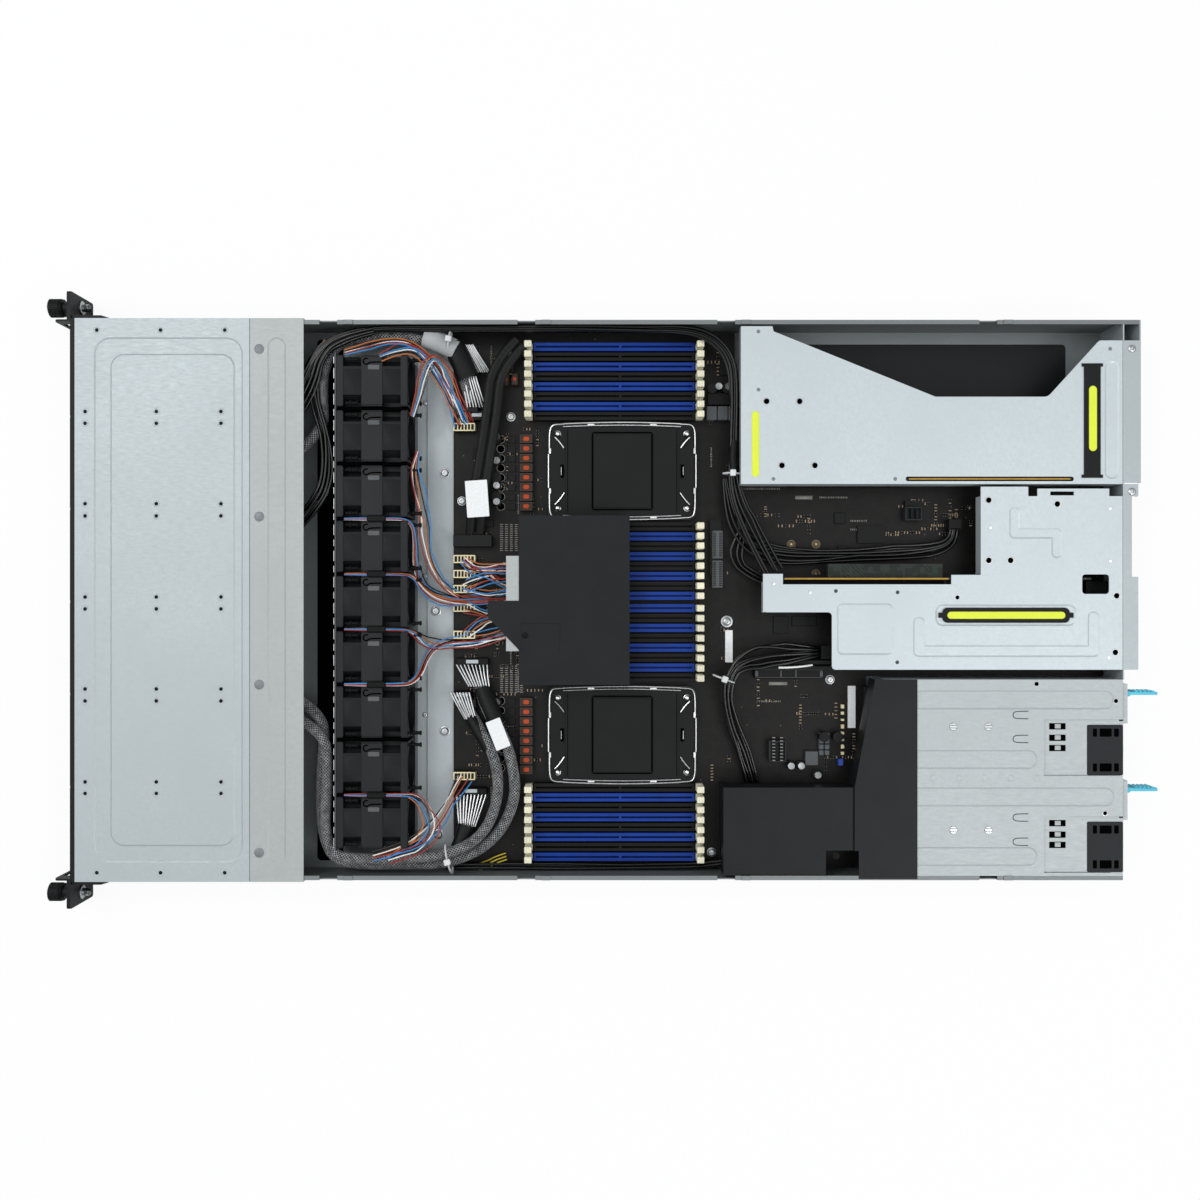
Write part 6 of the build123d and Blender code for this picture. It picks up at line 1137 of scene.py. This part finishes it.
class SERVER_OT_cables(bpy.types.Operator):
    """Looms, leads, fan wires, ties and bare labels"""

    bl_idname = "server.cables"
    bl_label = "Cables"

    def execute(self, context):
        self.looms()
        self.leads()
        self.fan_wires()
        self.ties()
        self.plugs()
        self.labels()
        return {"FINISHED"}

    def looms(self):
        """Braided sleeves from the drive bay round both ends of the fan row."""
        radius = sizes().sleeve_radius / MM
        outer = [(-241.1, -78, 25), (-218.8, -92, 25), (-219.8, -120, 25), (-221.8, -150, 25), (-220.8, -182, 25),
                 (-212.8, -206, 25), (-188.8, -210.2, 25), (-156.8, -209.6, 25), (-120.8, -210.2, 24), (-84.5, -193, 25),
                 (-66.5, -160, 25), (-69.5, -128, 25), (-78.5, -104, 25), (-92.5, -86, 22), (-97.5, -66, 14.5)]
        inner = [(-241.1, -92, 33), (-216.8, -104, 34), (-214.3, -130, 34), (-215.8, -160, 34), (-216.3, -184, 34),
                 (-209.8, -201.5, 34), (-188.8, -204, 34), (-156.8, -203.4, 34), (-120.8, -201.5, 33), (-92.5, -187, 32),
                 (-80, -158, 31), (-81.5, -130, 30), (-92.5, -106, 25), (-105, -88.9, 14)]
        upper = [(-241.1, 118, 25), (-218.8, 134, 25), (-220.8, 160, 25), (-219.8, 184, 25), (-208.8, 205, 25),
                 (-182.8, 209.6, 25), (-152.8, 209.2, 25), (-126.8, 203, 25), (-107.9, 181, 24), (-103.9, 158.1, 18)]
        piece = skin("braided_looms", "chassis", "polyester_braid", tube(outer, radius, 16, 4.0),
                     tube(inner, radius * 0.95, 16, 4.0), tube(upper, radius, 16, 4.0))
        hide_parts("cable_looms")

    def leads(self):
        """Black power leads: along the +Y wall, down to riser two, and under the memory on the -Y side."""
        radius = sizes().lead_radius / MM
        shells = []
        random = np.random.default_rng(11)
        runs = (
            ([(-237.1, 165, 34), (-229.1, 190, 34), (-202.4, 211.65, 34), (-161.4, 214.65, 34), (-90.4, 214.05, 34),
              (-23.2, 214.65, 34), (26.8, 214.15, 34), (78.8, 213.15, 35), (104, 194, 34), (107, 160, 30), (105.5, 120, 30),
              (106.5, 84, 30), (120, 54, 28), (139.0, 22.0, 26)],
             (1.9, 1.9, 1.9, 1.9, 1.9, 1.9, 1.9, 2.2, 3.4, 3.0, 2.6, 3.6, 6.5, 7.5), 5),
            ([(-123.9, -213.9, 14), (-83.9, -213.7, 14), (-23.2, -214.1, 14), (36.8, -213.7, 14), (88.8, -213.1, 15),
              (111.8, -207.5, 16)], (1.6, 1.6, 1.6, 1.6, 1.6, 1.6), 3),
            ([(-240.0, 150, 30), (-226.0, 168, 33), (-222.0, 192, 33), (-206.0, 207, 34), (-178.0, 212.0, 35)],
             (5.0, 5.5, 5.0, 3.0, 2.0), 5),
            ([(-240.0, 60, 26), (-224.0, 76, 30), (-214.0, 98, 32), (-216.0, 130, 32), (-225.0, 158, 30), (-226.0, 186, 30),
              (-212.0, 205, 30)], (4.0, 4.0, 3.4, 3.0, 3.6, 3.0, 2.0), 4),
            ([(101, 97, 20), (104, 72, 20), (116, 49, 18), (138.2, 36, 16), (182.2, 35.5, 16), (232.2, 37.5, 16),
              (267.2, 40.5, 15), (283.7, 47, 14), (284.2, 56.8, 14)], (2.0, 5.0, 6.0, 6.5, 5.0, 4.6, 4.4, 4.0, 3.4), 6),
            ([(106, 88, 22), (116, 64, 20), (110.5, 46, 16), (109, 33, 15), (116.5, 23, 14), (131, 16, 14)],
             (2.0, 3.0, 3.6, 4.0, 3.6, 3.0), 3),
            ([(175.1, -41.5, 19), (155.2, -42.5, 24), (126.2, -43.5, 25), (106.2, -52, 25), (100.2, -72, 24),
              (105.2, -98, 21), (116.2, -124, 17), (122.7, -149.5, 14)], (3.0, 6.5, 7.0, 4.4, 3.2, 3.8, 4.2, 4.4), 6),
        )
        for run, (points, widths, count) in enumerate(runs):
            for place in range(count):
                rank = 2 * place / (count - 1) - 1
                sway = np.array(widths) * (rank + random.normal(0, 0.2, len(widths)))
                rise = 1.5 * ((place + run) % 2) - 0.7
                shells.append(tube(points, radius, 10, 4.0, side_shift=sway, lift=rise))
        skin("power_leads", "chassis", "wire_black", *shells)
        flat = [(-63.5, 205, 24), (-82.5, 186, 24), (-85.5, 152, 25), (-91.5, 112, 26), (-97.5, 78, 24), (-100.5, 52.9, 15)]
        pair = [tube(flat, 3.6, 12, 3.0, 0.42, side_shift=shift) for shift in (-4.0, 4.0)]
        pair.append(tube([(106.5, 126, 30), (104.0, 113, 31.5), (106.5, 100, 30)], 3.4, 14, 2.0, 0.9))
        skin("flat_leads", "chassis", "heat_shrink", *pair)

    def fan_wires(self):
        """Coloured fan wires: each route has a half width at every point, and its wires spread over that width."""
        palette = ("wire_white", "wire_blue", "wire_orange", "wire_red", "wire_black")
        gap = ((-200, 0, 39.8, 0.5), (-188, 0, 40.4, 0.9), (-176, 0, 40.4, 0.7), (-164, 0, 40.4, 0.9), (-154, 0, 40.0, 1.2))
        gaps = [[(x, y, z, w) for x, _, z, w in gap] for y in (63.55, 20.35, -22.85, -66.05, -152.45)]
        routes = (
            ((-199.4, 193.5, 41, 2), (-180.5, 198.5, 41.5, 2.4), (-165, 202.5, 41.5, 2.2), (-149, 201.7, 40, 2),
             (-136.6, 192.5, 36, 2.4), (-125.6, 177, 31, 3), (-118, 162, 25, 4), (-110.5, 141, 15, 6)),
            ((-172, 190, 41.5, 3), (-160, 195.5, 41.5, 4), (-146, 197, 40, 4), (-136, 189, 36, 3.4), (-126, 174, 31, 3),
             (-117, 158, 24, 4), (-107.5, 141, 15, 5)),
            ((-147.5, 144, 36, 1.6), (-143.5, 157, 37, 2.4), (-140, 173, 38, 3), (-134.5, 187, 38, 4), (-128, 190, 37, 4),
             (-119, 176, 30, 3), (-107, 141, 15, 5)),
            ((-142.5, 117, 35, 1.2), (-145.5, 107, 35, 3), (-145.5, 96, 34, 4.5), (-142.5, 83, 33, 4.2), (-137.5, 63, 32, 5), (-137.5, 47, 30, 3.5),
             (-135.5, 31.8, 26, 3), (-127, 12.8, 18, 3.2), (-114.2, 3.2, 14, 2.6), (-101, 1.2, 14, 2.4), (-84, 3.0, 15, 2.6),
             (-70, 6.0, 14, 3)),
            (*gaps[0], (-147, 60, 37, 2), (-145, 45, 34, 2.6), (-145.5, 26, 32, 2.6), (-140, 10, 24, 3), (-124, 1, 15, 3),
             (-104, -1.0, 14, 2.4), (-84, 1.0, 15, 3), (-70, 4.0, 14, 3)),
            (*gaps[1], (-146.5, 19, 36, 2.6), (-139.5, 8, 29, 3.6), (-129, -0.5, 18, 3), (-112, -2.5, 14, 2.2),
             (-90, -1.0, 14, 2.4), (-70, 3.0, 14, 3)),
            (*gaps[2], (-146, -25.5, 36, 3), (-140, -33, 28, 5), (-130, -36.5, 19, 5), (-117, -36, 14, 4.4),
             (-103, -35.5, 14, 3.6), (-90, -32.5, 14, 3.6), (-74, -27.5, 15, 4)),
            (*gaps[3], (-147, -64.5, 38, 2), (-141.5, -58, 33, 2.6), (-138, -46, 27, 2.6), (-133, -37, 21, 2.6),
             (-122, -32, 15, 3), (-106, -31.5, 14, 3), (-90, -29, 14, 3.6), (-74, -26, 15, 4)),
            (*gaps[4], (-146, -153.5, 38, 3), (-138.5, -160, 35, 5), (-134, -171, 34, 6.5), (-133, -182, 34, 6),
             (-139, -191, 35, 5), (-151, -198, 37, 4), (-166, -203, 39, 3)),
            ((-178, -200.5, 39, 3), (-160, -196.5, 38, 4), (-142, -189, 36, 5), (-128, -176, 30, 4.6), (-119, -160, 22, 4),
             (-109, -142, 15, 6)),
            ((-109, 33, 15, 5), (-103, 27.5, 17, 3), (-92, 25, 18, 2.6), (-78, 27, 17, 2.6), (-70, 28, 15, 3)),
            ((-110, 32, 14, 4), (-102, 24, 17, 3), (-88, 20, 18, 2.6), (-78, 14, 16, 3), (-70, 10, 14, 3)),
            ((-108, 21, 15, 5), (-96, 23, 18, 2.6), (-82, 22.5, 18, 2.2), (-70, 22, 15, 3)),
            ((-108, 9, 15, 5), (-99, 14, 18, 3), (-88, 17, 18, 3), (-70, 18, 15, 3)),
            ((-112, 8, 14, 5), (-104, 7, 17, 3), (-94, 4.5, 17, 3), (-84, 3.5, 16, 3), (-70, 6, 14, 3)),
            ((-108, -6, 15, 5), (-98, -9.5, 17, 3), (-88, -13.5, 17, 2.6), (-76, -16.5, 14, 2.6)),
            ((-108, -28, 15, 5), (-100, -21, 18, 3), (-90, -15, 18, 2.6), (-76, -12, 15, 2.6)),
        )
        radius = sizes().wire_radius / MM
        random = np.random.default_rng(7)
        strands = {name: [] for name in palette}
        for number, route in enumerate(routes):
            points = [point[:3] for point in route]
            widths = np.array([point[3] for point in route])
            ranks = random.permutation(len(palette)) / (len(palette) - 1) * 2 - 1
            for place, (name, rank) in enumerate(zip(palette, ranks)):
                sway = widths * (rank + random.normal(0, 0.22, len(route)) * (widths > 2.2))
                rise = 0.9 * (place % 2) + random.uniform(0, 0.5, len(route))
                strands[name].append(tube(points, radius, 7, 2.5, side_shift=sway, lift=rise))
        for name, shells in strands.items():
            skin(f"fan_{name}s", "chassis", name, *shells)
        thin = [(-217, 205, 34), (-222.5, 195, 33), (-221, 184, 32), (-231, 182.5, 30)]
        skin("thin_leads", "chassis", "wire_brown", tube(thin, 0.6, 6, 3.0), tube(thin, 0.6, 6, 3.0, side_shift=2.4, lift=-1.0))
        pair = [(-75.5, -206.5, 12), (-82.0, -208.0, 14), (-90.0, -212.5, 13), (-98.0, -215.5, 10)]
        skin("yellow_leads", "chassis", "wire_yellow",
             *(tube(pair, 0.6, 8, 2.5, side_shift=shift, lift=0.4 * shift) for shift in (-2.4, 0.0, 2.4)))
        white = [(142.0, -53.7, 25.0), (155.0, -54.0, 25.5), (169.0, -51.7, 25.0)]
        skin("white_strand", "chassis", "wire_white", tube(white, 0.8, 8, 3.0))

    def ties(self):
        """Nylon ties: a flat ring round the bundle, a square head and a cut tail."""
        rings = []
        for x, y, z, radius, angle in ((-119.5, -205.0, 28.8, 11.0, 14.0), (-119.0, 205.0, 29.0, 7.6, -8.0),
                                      (98.5, -62.6, 23.4, 8.4, 70.0), (104.5, 100.0, 29.0, 6.4, 88.0)):
            spin = math.radians(angle)
            bend = np.linspace(0.3, 2 * math.pi + 0.3, 21)
            route = [(x - radius * math.cos(a) * math.sin(spin), y + radius * math.cos(a) * math.cos(spin),
                      z + radius * math.sin(a) * 0.95) for a in bend]
            rings.append(tube(route, 1.5, 8, 2.0, 0.5, reference=(math.cos(spin), math.sin(spin), 0.05)))
            rings.append(moulding([(x, y, 5.0, 4.6, z + radius)], levels(3.0, 0.5), 0.8, 3, angle))
        skin("cable_ties", "chassis", "cable_tie_nylon", *rings)

    def plugs(self):
        """Heat-shrink, silver fan-outs and plugs at the ends of the looms."""
        shrink = [tube([(-80.5, -99.0, 25), (-87.0, -88.0, 24), (-94.0, -70.0, 19)], 6.8, 14, 3.0, 0.7),
                  tube([(-87.5, -118.0, 27), (-95.0, -106.0, 24), (-103.5, -94.0, 18)], 5.4, 14, 3.0, 0.8),
                  tube([(-117.0, 203.0, 27), (-111.0, 192.0, 27), (-105.0, 177.0, 25)], 8.6, 14, 3.0, 0.65),
                  tube([(-112.0, -198.0, 24), (-108.5, -190.0, 23), (-106.0, -180.0, 21)], 7.2, 14, 3.0, 0.7)]
        skin("heat_shrinks", "chassis", "heat_shrink", *shrink)
        wires = []
        for start, end, narrow, wide in (
            ((-96.5, -69.0, 21.0), (-102.5, -52.0, 17.5), 8.0, 12.2), ((-103.5, -95.0, 20.5), (-112.0, -74.0, 19.0), 4.2, 7.4),
            ((-104.5, 178.0, 24.0), (-98.5, 154.0, 20.5), 5.6, 7.4), ((-104.5, 203.0, 24.0), (-92.5, 182.0, 20.0), 3.4, 4.4),
            ((-106.0, -181.0, 21.0), (-103.0, -156.0, 17.5), 6.2, 11.6),
        ):
            start, end = np.array(start), np.array(end)
            for rank, place in enumerate(np.linspace(-1, 1, 5 + round(wide / 3.0))):
                side = np.array([1.0, 0.0, 0.0])
                points = [start + side * narrow * place, start * 0.5 + end * 0.5 + side * wide * 0.8 * place + (0, 0, 2.2),
                          end + side * wide * place]
                wires.append(tube(points, 0.62, 8, 3.0, lift=1.1 * (rank % 2)))
        skin("silver_fan_outs", "chassis", "silver_braid", *wires)
        blocks = [(-102.5, -49.8, 26.4, 6.4, BOARD_Z), (-110.5, -76.5, 15.0, 7.0, BOARD_Z), (-98.0, 148.0, 21.0, 8.0, BOARD_Z),
                  (-103.4, -153.5, 25.6, 5.4, BOARD_Z), (-102.3, 47.6, 31.0, 9.8, BOARD_Z)]
        skin("loom_plugs", "chassis", "socket_nylon_black", moulding(blocks, levels(8.6, 0.6), 1.0, 3))
        latches = [(x, y + 0.4, 10.0, 3.0, BOARD_Z + 8.4) for x, y, _, _, _ in blocks[:4]]
        skin("plug_latches", "chassis", "galvanised_steel", moulding(latches, levels(0.6, 0.2), 0.4, 2))
        wrap = [tube([(-139.0, 208.5, 27.0), (-127.0, 205.0, 27.5), (-114.0, 198.0, 27.0)], 8.4, 14, 3.0, 0.85)]
        skin("foam_wrap", "chassis", "foam_wrap", *wrap)

    def labels(self):
        """Bare paper labels on the leads and the board."""
        skin("loom_label", "chassis", "label_paper", moulding([(-80.5, -106.0, 12.0, 24.0, 30.4)], levels(0.5, 0.1), 0.4, 2, 21.5))
        skin("lead_label", "chassis", "label_paper", moulding([(-97.0, 80.0, 17.5, 29.0, 31.5)], levels(0.5, 0.1), 0.4, 2, 4.0))
        skin("board_label", "chassis", "label_paper", moulding([(203.4, -86.4, 6.2, 34.0, BOARD_Z)], levels(0.9, 0.05), 0.3, 2))
        skin("riser_label", "chassis", "label_paper", moulding([(104.2, -37.4, 6.0, 26.0, BOARD_Z)], levels(0.9, 0.05), 0.3, 2))


class SERVER_OT_ears(bpy.types.Operator):
    """Finishes of the ears and screws, and the knurls and retaining washers"""

    bl_idname = "server.ears"
    bl_label = "Rack ears"

    def execute(self, context):
        for side, word in ((1, "left"), (-1, "right")):
            dress(f"rack_ear_{word}", "black_powder_coat")
            dress(f"thumbscrew_{word}", "black_powder_coat")
            y = side * EAR_SCREW_Y
            ridges = []
            for angle in turns(30):
                place_y, place_z = y + 7.0 * math.cos(angle), 22.0 + 7.0 * math.sin(angle)
                ridges.append(tube([(-437.8, place_y, place_z), (-433.0, place_y, place_z), (-428.4, place_y, place_z)],
                                   0.36, 5, 3.0, reference=(0.0, 0.3, 1.0)))
            skin(f"knob_knurls_{word}", f"thumbscrew_{word}", "rubber", *ridges)
            washer = ((5.6, 0.0), (5.6, 0.8), (4.6, 1.4), (3.3, 1.4))
            shaft = ((2.9, 0.0), (3.1, 0.4), (3.1, 4.6), (1.4, 6.6), (0.02, 6.7))
            skin(f"retaining_washer_{word}", "chassis", "nickel_plate", turned([(-413.0, y, 22.0)], washer, "X", 20))
            skin(f"screw_shank_{word}", f"thumbscrew_{word}", "nickel_plate", turned([(-411.9, y, 22.0)], shaft, "X", 18))
        dress("power_button", "baffle_polycarbonate")
        return {"FINISHED"}


class SERVER_OT_rear(bpy.types.Operator):
    """Generic rear ports and the screws of the rear shelves"""

    bl_idname = "server.rear"
    bl_label = "Rear panel"

    def execute(self, context):
        screws = [(415.0, 84.5, SHEET_TOP_Z), (415.0, 196.0, SHEET_TOP_Z)]
        skin("rear_screws", "chassis", "zinc_plate", turned(screws, screw_head(3.0, 1.2), sides=20))
        shells = []
        for y0, y1, height in ((62, 77, 15), (40, 55, 13), (21, 36, 13), (0, 15, 13)):
            middle, width, z = (y0 + y1) / 2, y1 - y0 - 2.0, BOARD_Z + 1.5
            shells.append(self.port(middle, width - 1.2, z, height - 3.0))
        skin("rear_port_shells", "chassis", "nickel_plate", *shells)
        return {"FINISHED"}

    def port(self, y, width, z, height):
        """A port's metal shell: a round-cornered outline carried out of the wall and back in to a floor."""
        flat = corner_outline(width, height, 1.0, 3) + (y, z + height / 2)
        rings = []
        for x, inset in ((404.0, 0.0), (409.2, 0.0), (409.5, 0.3), (409.3, 0.7), (404.6, 0.7)):
            factor = 1 - 2 * inset / np.array([width, height])
            ring = (flat - (y, z + height / 2)) * factor + (y, z + height / 2)
            rings.append(np.column_stack([np.full(len(ring), x), ring]))
        return np.array([rings])


class SERVER_PT_panel(bpy.types.Panel):
    """Lists the steps that build the server's looks"""

    bl_idname = "SERVER_PT_panel"
    bl_label = "Server"
    bl_space_type = "VIEW_3D"
    bl_region_type = "UI"
    bl_category = "Server"

    def draw(self, context):
        for group in (context.scene.server_sizes, context.scene.server_colours):
            for name in group.__annotations__:
                self.layout.prop(group, name)
        for step in STEPS:
            self.layout.operator(step.bl_idname)


STEPS = (
    SERVER_OT_stage, SERVER_OT_sheet_metal, SERVER_OT_drive_bay, SERVER_OT_fans, SERVER_OT_board, SERVER_OT_memory,
    SERVER_OT_processors, SERVER_OT_baffles, SERVER_OT_risers, SERVER_OT_supplies, SERVER_OT_cables, SERVER_OT_ears,
    SERVER_OT_rear,
)
CLASSES = (ServerSizes, ServerColours, *STEPS, SERVER_PT_panel)


def register():
    """Registers the classes and their settings."""
    for kind in CLASSES:
        bpy.utils.register_class(kind)
    bpy.types.Scene.server_sizes = bpy.props.PointerProperty(type=ServerSizes)
    bpy.types.Scene.server_colours = bpy.props.PointerProperty(type=ServerColours)


def unregister():
    """Removes the settings and the classes."""
    del bpy.types.Scene.server_colours
    del bpy.types.Scene.server_sizes
    for kind in reversed(CLASSES):
        bpy.utils.unregister_class(kind)


def main():
    """Runs every step."""
    register()
    bpy.ops.server.stage()
    bpy.ops.server.sheet_metal()
    bpy.ops.server.drive_bay()
    bpy.ops.server.fans()
    bpy.ops.server.board()
    bpy.ops.server.memory()
    bpy.ops.server.processors()
    bpy.ops.server.baffles()
    bpy.ops.server.risers()
    bpy.ops.server.supplies()
    bpy.ops.server.cables()
    bpy.ops.server.ears()
    bpy.ops.server.rear()


if __name__ == "__main__":
    main()
